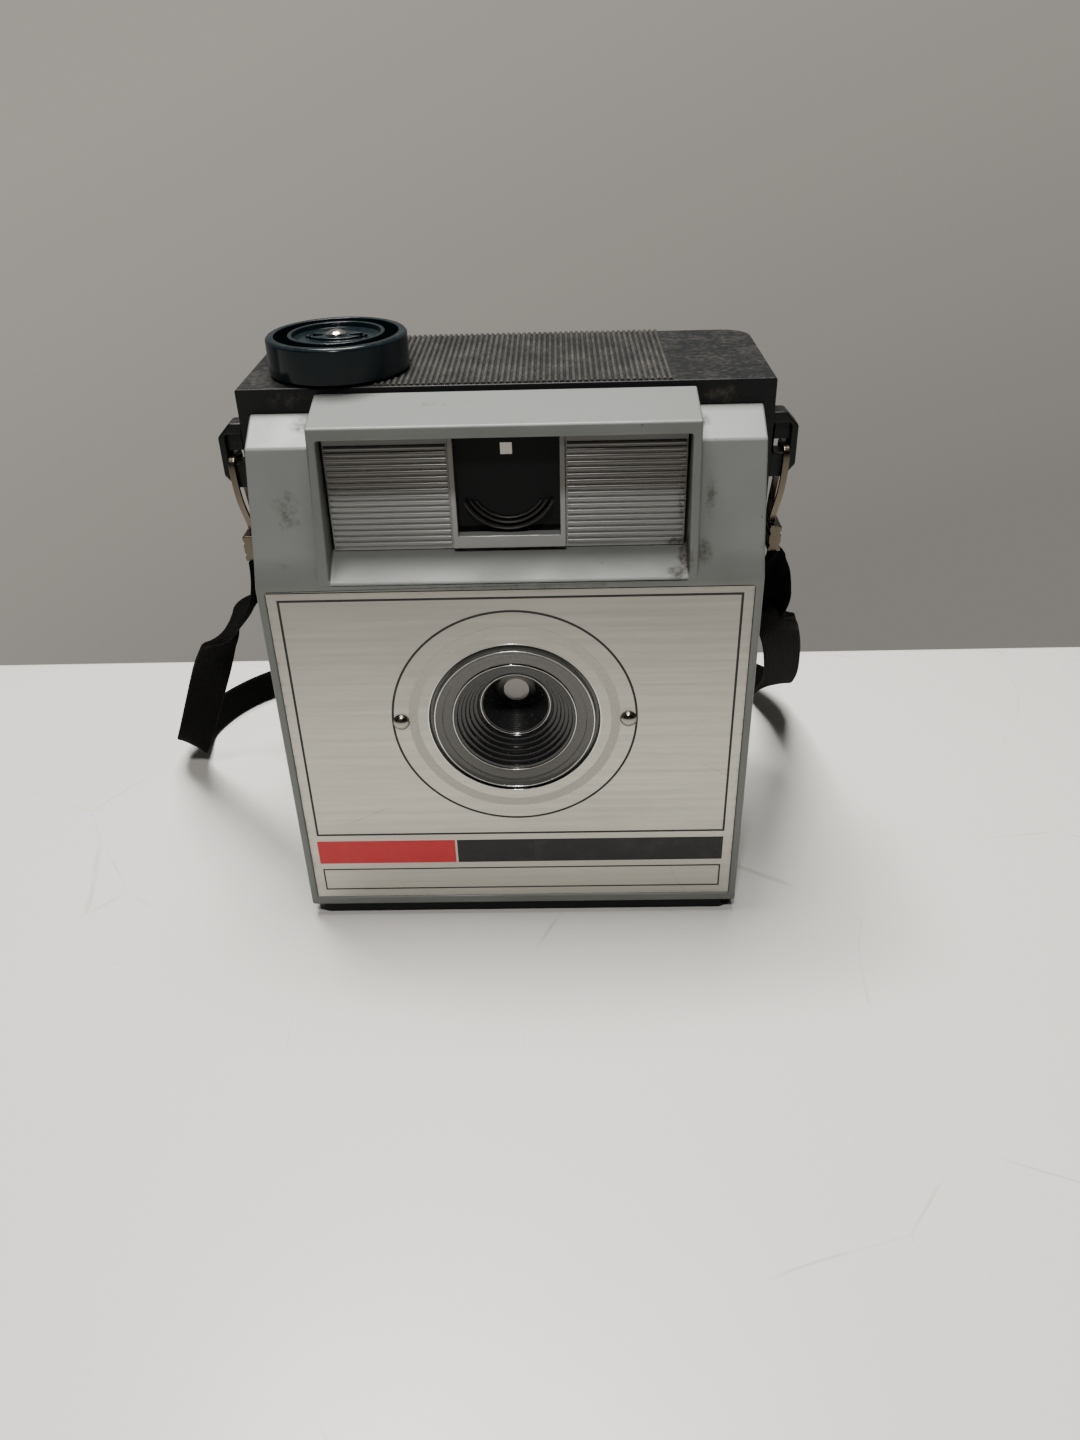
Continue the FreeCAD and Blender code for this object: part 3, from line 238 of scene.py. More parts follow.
def soften(piece: bpy.types.Object, width: float, segments: int = 2, degrees: float = 32.0) -> None:
    """Rounds the piece's sharp edges and keeps its flats flat.

    Args:
        piece: the object.
        width: the rounding in millimetres.
        segments: facets across the rounding.
        degrees: edges sharper than this are rounded.
    """
    modify(piece, "BEVEL", width=width * MM, segments=segments, limit_method="ANGLE",
           angle_limit=math.radians(degrees), use_clamp_overlap=False, miter_outer="MITER_ARC")
    smooth(piece, 50.0)
    modify(piece, "WEIGHTED_NORMAL", keep_sharp=True, weight=60)


def recast(node: str, name: str, width: float = 0.25, segments: int = 2) -> bpy.types.Object:
    """A copy of a frame node with its facets merged and its edges rounded.

    Args:
        node: the node's name.
        name: the new object's name.
        width: the rounding in millimetres.
        segments: facets across the rounding.

    Returns:
        The new object, which stands for the node.
    """
    piece = bpy.data.objects.new(name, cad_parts[node].data.copy())
    bpy.context.scene.collection.objects.link(piece)
    piece.data.materials.clear()
    only(piece)
    bpy.ops.mesh.customdata_custom_splitnormals_clear()
    with editing(piece):
        bpy.ops.mesh.remove_doubles(threshold=WELD)
        bpy.ops.mesh.mark_sharp(clear=True)
        bpy.ops.mesh.dissolve_limited(angle_limit=math.radians(0.5))
    soften(piece, width, segments)
    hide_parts(node)
    return piece


# ---------------------------------------------------------------- shader board
class Wire:
    """An output socket that takes part in Python arithmetic."""

    def __init__(self, board: "Board", socket: bpy.types.NodeSocket) -> None:
        """Wraps one output of a node on a board."""
        self.board = board
        self.socket = socket

    def __add__(self, other: "Wire | float") -> "Wire":
        """Sum."""
        return self.board.math("ADD", self, other)

    def __rsub__(self, other: "Wire | float") -> "Wire":
        """Difference with this on the right."""
        return self.board.math("SUBTRACT", other, self)

    def __mul__(self, other: "Wire | float") -> "Wire":
        """Product."""
        return self.board.math("MULTIPLY", self, other)


class Board:
    """The nodes of one material or of the surround."""

    def __init__(self, owner: bpy.types.Material | bpy.types.World, shader: str) -> None:
        """Gives the owner nodes and finds its plain shader."""
        owner.use_nodes = True
        self.tree = owner.node_tree
        self.shader = self.tree.nodes[shader]

    def node(self, kind: str, settings: dict | None = None, sockets: dict | None = None,
             output: int | str = 0) -> Wire:
        """Adds any node.

        Args:
            kind: the node's type.
            settings: its properties, set first.
            sockets: a value or a wire for each input.
            output: which output to return.

        Returns:
            The wire of that output.
        """
        made = self.tree.nodes.new(kind)
        for key, value in (settings or {}).items():
            setattr(made, key, value)
        for key, value in (sockets or {}).items():
            self.feed(made.inputs[key], value)
        return Wire(self, made.outputs[output])

    def feed(self, socket: bpy.types.NodeSocket, value: object) -> None:
        """Links a wire to a socket, or sets its value."""
        if isinstance(value, Wire):
            self.tree.links.new(value.socket, socket)
        else:
            socket.default_value = value

    def set(self, **sockets: object) -> None:
        """Feeds the shader's sockets; an underscore stands for a space."""
        for key, value in sockets.items():
            self.feed(self.shader.inputs[key.replace("_", " ")], value)

    def math(self, operation: str, first: object, second: object = 0.0, clamp: bool = False) -> Wire:
        """A Math node."""
        return self.node("ShaderNodeMath", {"operation": operation, "use_clamp": clamp},
                         {0: first, 1: second})

    def place(self) -> Wire:
        """Object coordinates."""
        return self.node("ShaderNodeTexCoord", output="Object")

    def parts(self, vector: Wire) -> tuple[Wire, Wire, Wire]:
        """The three numbers of a vector."""
        made = self.node("ShaderNodeSeparateXYZ", sockets={0: vector}).socket.node
        return tuple(Wire(self, made.outputs[i]) for i in range(3))

    def vector(self, operation: str, first: Wire, second: "Wire | Point" = (0.0, 0.0, 0.0)) -> Wire:
        """A Vector Math node."""
        return self.node("ShaderNodeVectorMath", {"operation": operation}, {0: first, 1: second},
                         "Value" if operation in ("LENGTH", "DOT_PRODUCT") else "Vector")

    def stretch(self, vector: Wire, scale: Sequence[float]) -> Wire:
        """A vector scaled axis by axis."""
        return self.vector("MULTIPLY", vector, tuple(scale))

    def cells(self, vector: Wire, scale: float, feature: str = "F1") -> Wire:
        """Distance to the nearest of scattered points, or to the edge between two of them."""
        return self.node("ShaderNodeTexVoronoi", {"feature": feature}, {"Vector": vector, "Scale": scale},
                         "Distance")

    def warped(self, vector: Wire, scale: float, push: Point) -> Wire:
        """A vector pushed about by noise at the object's own coordinates."""
        drift = self.node("ShaderNodeTexNoise", sockets={"Vector": self.place(), "Scale": scale},
                          output="Color")
        return self.vector("ADD", vector, self.stretch(drift, push))

    def noise(self, vector: Wire, scale: float, detail: float = 3.0, rough: float = 0.55) -> Wire:
        """Fractal noise from 0 to 1."""
        return self.node("ShaderNodeTexNoise", sockets={"Vector": vector, "Scale": scale, "Detail": detail,
                                                        "Roughness": rough})

    def ramp(self, value: Wire, low: float, high: float, to_low: float = 0.0, to_high: float = 1.0) -> Wire:
        """Smooth step of a value between two limits."""
        return self.node("ShaderNodeMapRange", {"interpolation_type": "SMOOTHSTEP"},
                         {0: value, 1: low, 2: high, 3: to_low, 4: to_high})

    def mix(self, factor: object, first: object, second: object) -> Wire:
        """One colour over another."""
        made = self.node("ShaderNodeMix", {"data_type": "RGBA"}).socket.node
        for index, value in ((0, factor), (6, first), (7, second)):
            self.feed(made.inputs[index], (*value, 1.0) if isinstance(value, tuple) else value)
        return Wire(self, made.outputs[2])

    def bump(self, height: Wire, depth: float) -> None:
        """Relief on the shader's normal; depth in millimetres."""
        self.set(Normal=self.node("ShaderNodeBump", sockets={"Height": height, "Distance": depth * MM}))


# ---------------------------------------------------------------- finishes
MADE: dict[str, bpy.types.Material] = {}


@dataclass(frozen=True)
class Finish:
    """A surface finish that makes its material once."""

    name: str

    def paint(self, board: Board) -> None:
        """Draws the finish on a board."""

    def material(self) -> bpy.types.Material:
        """The finished material."""
        if self.name not in MADE:
            MADE[self.name] = bpy.data.materials.new(self.name)
            self.paint(Board(MADE[self.name], "Principled BSDF"))
        return MADE[self.name]

    def on(self, piece: bpy.types.Object) -> None:
        """Dresses a piece in this finish."""
        if not piece.material_slots:
            piece.data.materials.append(self.material())
        for slot in piece.material_slots:
            slot.material = self.material()


@dataclass(frozen=True)
class Stain:
    """A patch of grime: centre and reach along X, Y and Z in millimetres, and how dense it is."""

    centre: Point
    reach: Point
    density: float = 1.0

    def mask(self, board: Board, place: Wire) -> Wire:
        """How strongly the patch covers a point, before it is broken up."""
        offset = board.vector("SUBTRACT", place, tuple(mm(*self.centre)))
        away = board.vector("LENGTH", board.stretch(offset, [1.0 / (r * MM) for r in self.reach]))
        return board.ramp(away, 1.0, 0.15, 0.0, self.density)


@dataclass(frozen=True)
class Plastic(Finish):
    """Moulded plastic with fine grain, handling marks, dust, grime and an optional painted shade band."""

    colour: Colour
    shade: Colour
    rough: float = 0.4
    grain: float = 0.02
    speck: float = 0.0
    dust: float = 0.0
    grime_and_shade: Colour = (0.030, 0.025, 0.018)
    corner: float = 0.0
    stains: tuple[Stain, ...] = ()
    coat: float = 0.0
    shine: float = 0.5
    # Painted shade band: the height in millimetres where it starts, where it is full, and how strong it is.
    painted_shade_band: tuple[float, float, float] | None = None

    def paint(self, board: Board) -> None:
        """Layers mottling, a painted shade band, specks, dust and stains."""
        place = board.place()
        cloud = board.noise(place, 60.0, 4.0)
        fine = board.noise(place, 900.0, 4.0, 0.6)
        colour = board.mix(board.ramp(cloud, 0.35, 0.7), self.colour, self.shade)
        rough = board.ramp(cloud, 0.3, 0.75, self.rough - 0.05, self.rough + 0.08)
        # Painted shade: above a height the colour darkens toward the grime colour, standing in for a shadow
        # that falls from above.
        if self.painted_shade_band:
            low, high, amount = self.painted_shade_band
            colour = board.mix(board.ramp(board.parts(place)[2], low * MM, high * MM) * amount, colour,
                               self.grime_and_shade)
        if self.speck:
            where = board.ramp(board.noise(place, 130.0, 2.0), 0.52, 0.7)
            specks = board.ramp(board.cells(place, 420.0), 0.13, 0.07) * where * self.speck
            colour = board.mix(specks, colour, self.grime_and_shade)
        if self.dust:
            up = board.parts(board.node("ShaderNodeTexCoord", output="Normal"))[2]
            lint = board.ramp(fine * 0.6 + board.noise(place, 210.0, 5.0) * 0.4, 0.42, 0.68)
            layer = board.ramp(up, 0.3, 0.95) * lint * self.dust
            colour = board.mix(layer, colour, (0.36, 0.33, 0.29))
            rough = rough + layer * 0.4
        total = None
        if self.corner:
            shade = board.node("ShaderNodeAmbientOcclusion", {"samples": 6}, {"Distance": 1.6 * MM},
                               output="AO")
            total = board.ramp(shade, 0.62, 0.2) * self.corner
        for stain in self.stains:
            patch = stain.mask(board, place)
            total = patch if total is None else board.math("MAXIMUM", total, patch)
        if total is not None:
            broken = board.noise(place, 420.0, 8.0, 0.72)
            crumbs = board.ramp(board.noise(place, 1500.0, 6.0, 0.75), 0.38, 0.62)
            covered = board.ramp(total * 0.72 + broken, 0.64, 1.04) * (crumbs * 0.65 + 0.35)
            covered = board.math("MULTIPLY", covered, board.ramp(total, 0.02, 0.3), clamp=True)
            colour = board.mix(covered, colour, self.grime_and_shade)
            rough = rough + covered * 0.35
        board.set(Base_Color=colour, Roughness=rough, Coat_Weight=self.coat, Coat_Roughness=0.08,
                  Specular_IOR_Level=self.shine)
        board.bump(fine, self.grain)


@dataclass(frozen=True)
class Metal(Finish):
    """Bare metal, drawn or brushed along one axis, with scratches and tarnish."""

    colour: Colour
    rough: float = 0.25
    drawn: tuple[float, float, float] = (1.0, 1.0, 1.0)
    relief: float = 0.004
    tarnish: float = 0.15
    stain: Colour = (0.16, 0.12, 0.08)

    def paint(self, board: Board) -> None:
        """Fine drawn lines over a cloudy base."""
        place = board.place()
        lines = board.noise(board.stretch(place, self.drawn), 1100.0, 4.0, 0.6)
        cloud = board.noise(place, 170.0, 4.0)
        spots = board.ramp(board.noise(place, 480.0, 5.0, 0.7), 0.55, 0.75) * board.ramp(cloud, 0.45, 0.7)
        board.set(Base_Color=board.mix(spots * self.tarnish * 2.0, self.colour, self.stain), Metallic=1.0,
                  Roughness=board.ramp(lines, 0.25, 0.75, self.rough - 0.06,
                                       self.rough + 0.1) + spots * self.tarnish)
        board.bump(lines, self.relief)


@dataclass(frozen=True)
class BrushedSheet(Finish):
    """The front plate's bright sheet: long brush lines across, a few fine scratches, dirt along its edge."""

    colour: Colour = (0.42, 0.407, 0.364)
    half_width: float = 41.5
    low: float = 4.9
    high: float = 72.9

    def paint(self, board: Board) -> None:
        """Brush lines, scratches, an edge of grime and painted shade toward the top."""
        place = board.place()
        x, _, z = board.parts(place)
        brush = board.noise(board.stretch(place, (0.012, 1.0, 1.0)), 5200.0, 3.0, 0.6)
        bands = board.noise(board.stretch(place, (0.03, 1.0, 1.0)), 900.0, 3.0)
        warp = board.warped(board.stretch(place, (0.35, 1.0, 1.0)), 22.0, (0.02, 0.02, 0.02))
        where = board.ramp(board.noise(place, 48.0, 2.0), 0.55, 0.66)
        scratch = board.ramp(board.cells(warp, 31.0, "DISTANCE_TO_EDGE"), 0.005, 0.001) * where
        edge_x = board.ramp(board.math("ABSOLUTE", x), (self.half_width - 1.7) * MM, self.half_width * MM)
        edge_low = board.ramp(z, (self.low + 1.4) * MM, self.low * MM)
        edge_high = board.ramp(z, (self.high - 2.0) * MM, self.high * MM)
        edge = board.math("MAXIMUM", edge_x, board.math("MAXIMUM", edge_low, edge_high))
        dirt = board.ramp(edge * 0.62 + board.noise(place, 700.0, 6.0, 0.7) * 0.8, 0.9, 1.3)
        smear = board.ramp(board.noise(place, 35.0, 5.0, 0.6), 0.55, 0.75)
        colour = board.mix(smear * 0.35, self.colour, (0.40, 0.39, 0.36))
        # Painted reflection: the sheet darkens toward the top, standing in for the dark room that the upper
        # plate reflects.
        colour = board.mix(board.ramp(z, 36.0 * MM, 74.0 * MM) * 0.5, colour, (0.12, 0.115, 0.105))
        colour = board.mix(scratch * 0.5, colour, (0.32, 0.31, 0.29))
        colour = board.mix(dirt, colour, (0.27, 0.25, 0.21))
        colour = board.mix(board.ramp(bands * 0.5 + brush * 0.5, 0.35, 0.65) * 0.16, colour,
                           (0.22, 0.215, 0.20))
        board.set(Base_Color=colour, Metallic=0.92 - dirt * 0.8,
                  Roughness=board.ramp(bands, 0.3, 0.7, 0.30, 0.42) + dirt * 0.3 + smear * 0.08)
        board.bump(brush + scratch * 0.6, 0.006)


@dataclass(frozen=True)
class Clear(Finish):
    """Clear or tinted see-through material with a haze of fine wipe marks."""

    colour: Colour = (1.0, 1.0, 1.0)
    rough: float = 0.03
    ior: float = 1.49
    through: float = 1.0

    def paint(self, board: Board) -> None:
        """Clear body with a little haze."""
        place = board.place()
        wipe = board.noise(board.stretch(place, (0.3, 1.0, 1.0)), 700.0, 4.0)
        board.set(Base_Color=(*self.colour, 1.0), Transmission_Weight=self.through, IOR=self.ior,
                  Roughness=board.ramp(wipe, 0.35, 0.8, self.rough, self.rough + 0.07))
        board.bump(wipe, 0.003)


@dataclass(frozen=True)
class TurnedPlastic(Finish):
    """Dark glossy plastic with fine turning marks round the lens axis."""

    colour: Colour = (0.014, 0.014, 0.0145)

    def paint(self, board: Board) -> None:
        """Rings round the axis from the distance to it."""
        place = board.place()
        flat = board.stretch(board.vector("SUBTRACT", place, (0.0, 0.0, LENS_Z * MM)), (1.0, 0.0, 1.0))
        away = board.vector("LENGTH", flat)
        rings = board.math("SINE", away * 30000.0) * 0.5 + board.noise(place, 2400.0, 3.0)
        dust = board.ramp(board.noise(place, 1500.0, 5.0, 0.7), 0.60, 0.74)
        board.set(Base_Color=board.mix(dust * 0.4, self.colour, (0.17, 0.155, 0.13)),
                  Roughness=board.ramp(rings, 0.0, 1.2, 0.12, 0.22) + dust * 0.2)
        board.bump(rings, 0.008)


@dataclass(frozen=True)
class Print(Finish):
    """Printed ink with pin-holes and rubbed spots."""

    colour: Colour
    worn: Colour = (0.5, 0.49, 0.46)
    rough: float = 0.42

    def paint(self, board: Board) -> None:
        """Flat ink that has lost a little in specks."""
        place = board.place()
        holes = board.ramp(board.noise(place, 1700.0, 4.0, 0.7), 0.70, 0.76)
        tone = board.noise(place, 240.0, 3.0)
        board.set(Base_Color=board.mix(holes * 0.55 + board.ramp(tone, 0.4, 0.9) * 0.04, self.colour,
                                       self.worn),
                  Specular_IOR_Level=0.25,
                  Roughness=board.ramp(tone, 0.3, 0.7, self.rough - 0.06, self.rough + 0.08))
        board.bump(tone, 0.004)


@dataclass(frozen=True)
class Frosted(Finish):
    """A matt etched ring on the bright plate."""

    colour: Colour = (0.40, 0.389, 0.348)

    def paint(self, board: Board) -> None:
        """Sand-like tooth."""
        place = board.place()
        tooth = board.noise(place, 3800.0, 3.0, 0.7)
        board.set(Base_Color=board.mix(board.ramp(tooth, 0.3, 0.7), self.colour, (0.34, 0.33, 0.30)),
                  Metallic=0.85, Roughness=board.ramp(tooth, 0.3, 0.7, 0.5, 0.62))
        board.bump(tooth, 0.01)


@dataclass(frozen=True)
class Webbing(Finish):
    """Flat woven ribbon: fine lengthwise warp ribs with weft picks across, from the piece's own map."""

    colour: Colour = (0.0004, 0.0004, 0.0004)
    lit: Colour = (0.0024, 0.0024, 0.0023)
    warps: float = 22.0
    picks: float = 1.9

    def paint(self, board: Board) -> None:
        """Warp ribs, weft picks and lint."""
        across, along, _ = board.parts(board.node("ShaderNodeTexCoord", output="UV"))
        warp = board.math("SINE", across * (math.tau * self.warps)) * 0.5 + 0.5
        stagger = board.math("FLOOR", across * self.warps) * math.pi
        weft = board.math("SINE", along * (math.tau * self.picks / MM) + stagger) * 0.5 + 0.5
        lint = board.ramp(board.noise(board.place(), 1300.0, 5.0, 0.7), 0.66, 0.76)
        thread = warp * 0.65 + warp * weft * 0.35
        board.set(Base_Color=board.mix(lint * 0.35, board.mix(thread, self.colour, self.lit),
                                       (0.10, 0.095, 0.09)),
                  Roughness=board.ramp(thread, 0.0, 1.0, 0.9, 0.7), Specular_IOR_Level=0.04)
        board.bump(thread, 0.09)


@dataclass(frozen=True)
class TableTop(Finish):
    """Glossy white table with wipe haze and hair scratches."""

    colour: Colour = (0.555, 0.548, 0.525)

    def paint(self, board: Board) -> None:
        """Haze patches and long fine scratches."""
        place = board.place()
        haze = board.noise(place, 9.0, 5.0, 0.6)
        cells = board.cells(board.warped(place, 7.0, (0.05, 0.05, 0.0)), 17.0, "DISTANCE_TO_EDGE")
        scratch = board.ramp(cells, 0.006, 0.001) * board.ramp(board.noise(place, 26.0, 3.0), 0.5, 0.62)
        where = board.ramp(board.noise(place, 21.0, 2.0), 0.62, 0.7)
        crumbs = board.ramp(board.cells(place, 130.0), 0.05, 0.02) * where
        colour = board.mix(board.ramp(haze, 0.3, 0.8) * 0.25, self.colour, (0.49, 0.48, 0.455))
        colour = board.mix(scratch * 0.35 + crumbs * 0.7, colour, (0.23, 0.215, 0.19))
        board.set(Base_Color=colour, Roughness=board.ramp(haze, 0.3, 0.75, 0.30, 0.42) + scratch * 0.2,
                  Specular_IOR_Level=0.3)
        board.bump(haze + scratch * 0.4, 0.01)


# Grime where hands and cloths do not reach on the front shell.
SHELL_STAINS = (
    Stain((30.3, -27.5, 77.2), (2.6, 5.5, 5.5), 0.95),
    Stain((30.3, -24.9, 88.0), (1.5, 2.4, 12.5), 0.75),
    Stain((28.6, -30.2, 75.2), (3.2, 3.0, 2.6), 0.6),
    Stain((32.8, -28.2, 77.5), (3.2, 3.4, 5.2), 0.72),
    Stain((33.8, -26.0, 86.0), (2.0, 3.4, 9.5), 0.5),
    Stain((42.6, -28.0, 76.0), (1.6, 3.6, 8.0), 0.5),
    Stain((32.3, -20.5, 98.0), (3.6, 3.8, 2.6), 0.55),
    Stain((-37.5, -28.6, 76.8), (5.5, 2.6, 3.2), 0.6),
    Stain((-36.5, -26.6, 86.5), (4.5, 3.0, 10.0), 0.42),
    Stain((-33.5, -20.0, 98.5), (4.5, 4.0, 2.4), 0.55),
    Stain((-30.3, -25.5, 88.0), (1.2, 2.0, 12.0), 0.40),
    Stain((0.0, -24.9, 78.3), (31.0, 1.3, 0.9), 0.42),
    Stain((0.0, -31.2, 73.6), (44.0, 0.9, 1.2), 0.35),
    Stain((-10.0, -20.5, 101.6), (12.0, 3.6, 1.6), 0.30),
)
PANEL_STAINS = (
    Stain((29.6, -25.4, 88.0), (1.7, 1.6, 13.0), 0.95),
    Stain((29.0, -25.4, 78.6), (3.4, 1.6, 2.2), 0.9),
    Stain((-29.7, -25.4, 88.0), (1.1, 1.4, 13.0), 0.45),
    Stain((0.0, -25.4, 78.0), (30.0, 1.4, 0.9), 0.4),
)

DARK = Plastic("dark_plastic", (0.0045, 0.0055, 0.0063), (0.007, 0.0074, 0.0076), 0.36, 0.02, dust=0.06,
               corner=0.25, grime_and_shade=(0.075, 0.066, 0.053), shine=0.16,
               stains=(Stain((36.0, -17.5, 101.0), (7.5, 2.6, 3.0), 0.55),
                       Stain((-36.0, -17.5, 101.5), (8.0, 2.6, 3.0), 0.5),
                       Stain((-29.0, -5.45, 103.6), (14.5, 14.5, 1.2), 0.32)))
DECK_GREY = Plastic("deck_plastic", (0.014, 0.014, 0.0133), (0.022, 0.0215, 0.020), 0.44, 0.03, dust=0.07,
                    corner=0.2, grime_and_shade=(0.11, 0.10, 0.085), shine=0.35)
LIGHT = Plastic("light_plastic", (0.126, 0.134, 0.129), (0.109, 0.115, 0.110), 0.38, 0.012, speck=0.5,
                corner=0.5, stains=SHELL_STAINS, shine=0.35)
# The panel's upper ribs carry a painted shadow of the hood.
PANEL = Plastic("panel_plastic", (0.185, 0.19, 0.185), (0.158, 0.162, 0.158), 0.2, 0.008, corner=0.4,
                stains=PANEL_STAINS, coat=0.4, painted_shade_band=(86.5, 89.5, 0.82))
GLOSS_BLACK = Plastic("black_plastic", (0.0025, 0.0058, 0.0078), (0.004, 0.008, 0.0105), 0.17, 0.003,
                      dust=0.03, grime_and_shade=(0.12, 0.11, 0.09), corner=0.15, shine=0.2)
INNER = Plastic("inner_black", (0.0025, 0.0025, 0.0025), (0.0045, 0.0045, 0.0045), 0.6, 0.01, shine=0.12)
BLADE = Plastic("blade_grey", (0.62, 0.60, 0.56), (0.54, 0.52, 0.48), 0.38, 0.01)
CELL = Plastic("cell_wrap", (0.035, 0.07, 0.05), (0.05, 0.09, 0.065), 0.3, 0.01, coat=0.3)
PLATE = BrushedSheet("brushed_plate")
STEEL = Metal("polished_steel", (0.66, 0.65, 0.62), 0.14, tarnish=0.12)
RIVET = Metal("rivet_steel", (0.27, 0.255, 0.225), 0.2, tarnish=0.3)
WARM = Metal("warm_steel", (0.105, 0.09, 0.07), 0.26, (1.0, 1.0, 0.08), 0.006, 0.45)
SPRING = Metal("spring_steel", (0.42, 0.42, 0.43), 0.26, (1.0, 0.1, 1.0))
BRASS = Metal("brass", (0.62, 0.44, 0.18), 0.24, tarnish=0.2)
GUARD = Clear("clear_plastic", (0.12, 0.118, 0.11), 0.06, 1.49, 0.45)
# Bright metal for rings that are partly the plate's lip and partly stand-ins for highlights on the clear
# guard and funnel.
GLINT = Metal("guard_glint", (0.62, 0.62, 0.60), 0.18, tarnish=0.1)
GLASS = Clear("glass", (0.95, 0.97, 0.97), 0.01, 1.52)
# Painted shade: the finder's front lens is dark and opaque, standing in for the shaded inside of the finder
# seen through clear glass.
DARKENED_FINDER_GLASS = Clear("finder_glass_painted_dark", (0.006, 0.0065, 0.007), 0.03, 1.14, 0.0)
RED = Clear("red_filter", (0.62, 0.015, 0.01), 0.08, 1.49)
FUNNEL = TurnedPlastic("funnel_plastic")
RIBBON = Webbing("strap_webbing")
INK = Print("black_ink", (0.012, 0.012, 0.014))
RED_INK = Print("red_ink", (0.47, 0.022, 0.03), rough=0.36)
FROST = Frosted("frosted_ring")
# Painted light: the colour of the bright square seen through the finder.
PAINTED_EYE_LIGHT = Print("painted_eye_light", (0.62, 0.59, 0.57), (0.5, 0.47, 0.45))

KEPT = {
    INNER: ("lens_mount", "finder_tube", "light_box", "takeup_spool", "battery_rack", "knob_bushing",
            "wind_key", "finder_eyepiece"),
    GLASS: ("taking_lens", "finder_eye_lens"),
    DARKENED_FINDER_GLASS: ("finder_front_lens",),
    SPRING: ("lens_retainer", "diaphragm", "shutter_plate", "shutter_spring", "key_circlip", "wrap_spring",
             "supply_spring", "pressure_springs", "pressure_plate", "latch_arm", "release_lever"),
    STEEL: ("shutter_pivots", "body_screws", "spring_post", "spool_studs"),
    BRASS: ("battery_contacts", "contact_bridge", "flash_contacts", "sync_contact"),
    BLADE: ("shutter_blade",),
    CELL: ("battery_cells",),
}


def place_piece(piece: bpy.types.Object, body: str, finish: Finish, slot: str | None = None,
                *nodes: str) -> None:
    """Dresses a piece and fixes it to its body.

    Args:
        piece: the object.
        body: the body that it rides on.
        finish: its finish.
        slot: not used.
        *nodes: frame nodes that it stands for.
    """
    finish.on(piece)
    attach(piece, body)
    if nodes:
        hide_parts(*nodes)
    LOG.info("piece %s on %s", piece.name, body)


# ---------------------------------------------------------------- viewpoint and studio
@dataclass(frozen=True)
class Viewpoint:
    """Where the viewer stands."""

    eye: Point = (8.96, -197.39, 153.27)
    lens: float = 27.13
    sensor: float = 36.0
    yaw: float = -1.50
    pitch: float = -32.63
    roll: float = -1.71

    def build(self) -> None:
        """Adds the camera and makes it the scene's own."""
        yaw, pitch, roll = (math.radians(a) for a in (self.yaw, self.pitch, self.roll))
        ahead = Vector((math.sin(yaw) * math.cos(pitch), math.cos(yaw) * math.cos(pitch), math.sin(pitch)))
        right = Vector((math.cos(yaw), -math.sin(yaw), 0.0))
        up = right.cross(ahead)
        across = right * math.cos(roll) + up * math.sin(roll)
        above = up * math.cos(roll) - right * math.sin(roll)
        turn = Matrix((across, above, -ahead)).transposed()
        bpy.ops.object.camera_add()
        camera = bpy.context.object
        camera.name = "viewpoint"
        camera.matrix_world = Matrix.Translation(mm(*self.eye)) @ turn.to_4x4()
        camera.data.lens = self.lens
        camera.data.sensor_width = self.sensor
        camera.data.clip_start = 0.005
        bpy.context.scene.camera = camera


@dataclass(frozen=True)
class Lamp:
    """A soft square light: place and aim in metres, side in metres, power in watts."""

    name: str
    place: Point
    aim: Point
    side: float
    power: float
    colour: Colour = (1.0, 0.97, 0.93)

    def build(self) -> None:
        """Hangs the light."""
        bpy.ops.object.light_add(type="AREA", location=self.place)
        lamp = bpy.context.object
        lamp.name = self.name
        lamp.rotation_euler = (Vector(self.aim) - Vector(self.place)).to_track_quat("-Z", "Y").to_euler()
        lamp.data.size = self.side
        lamp.data.energy = self.power
        lamp.data.color = self.colour


@dataclass(frozen=True)
class Studio:
    """A pale table, soft lights and a graded surround."""

    far_edge: float = 79.0
    near_edge: float = -900.0
    half_width: float = 900.0
    thickness: float = 30.0
    behind: Colour = (0.20, 0.19, 0.178)
    ahead: Colour = (0.006, 0.006, 0.006)
    dimming: tuple[float, float] = (-0.35, 0.55)
    wall_slope: Point = (-0.42, 0.0, 1.0)
    spread: tuple[float, float] = (-0.5, 0.1)
    corners: tuple[Colour, Colour] = ((0.225, 0.211, 0.193), (0.40, 0.378, 0.335))
    lamps: tuple[Lamp, ...] = (
        Lamp("lamp_above", (-0.02, 0.06, 0.60), (-0.02, 0.02, 0.0), 0.24, 7.6, (1.0, 0.975, 0.93)),
        Lamp("lamp_key", (-0.17, 0.14, 0.74), (0.0, 0.0, 0.07), 0.12, 3.3, (1.0, 0.985, 0.95)),
        Lamp("lamp_spark", (-0.03, -0.37, 0.63), (0.0, 0.0, 0.07), 0.06, 2.8),
    )

    def build(self) -> None:
        """Table, lights and surround."""
        table = block("table_top", (-self.half_width, self.near_edge, -self.thickness),
                      (self.half_width, self.far_edge, 0.0))
        soften(table, 4.0, 5)
        TableTop("table_white").on(table)
        for lamp in self.lamps:
            lamp.build()
        world = bpy.data.worlds.new("surround")
        self.light_room(Board(world, "Background"))
        bpy.context.scene.world = world

    def light_room(self, board: Board) -> None:
        """The seen wall brightens up to the left; the room that lights the case is brighter behind it."""
        toward = board.node("ShaderNodeTexCoord", output="Generated")

        def graded(value: Wire, limits: tuple[float, float]) -> Wire:
            """A value taken from its limits to 0 and 1."""
            return board.node("ShaderNodeMapRange", sockets={0: value, 1: limits[0], 2: limits[1]})
        room = board.mix(graded(board.parts(toward)[1], self.dimming), self.ahead, self.behind)
        slope = board.vector("DOT_PRODUCT", toward, self.wall_slope)
        wall = board.mix(graded(slope, self.spread), *self.corners)
        board.set(Color=board.mix(board.node("ShaderNodeLightPath", output="Is Camera Ray"), room, wall))


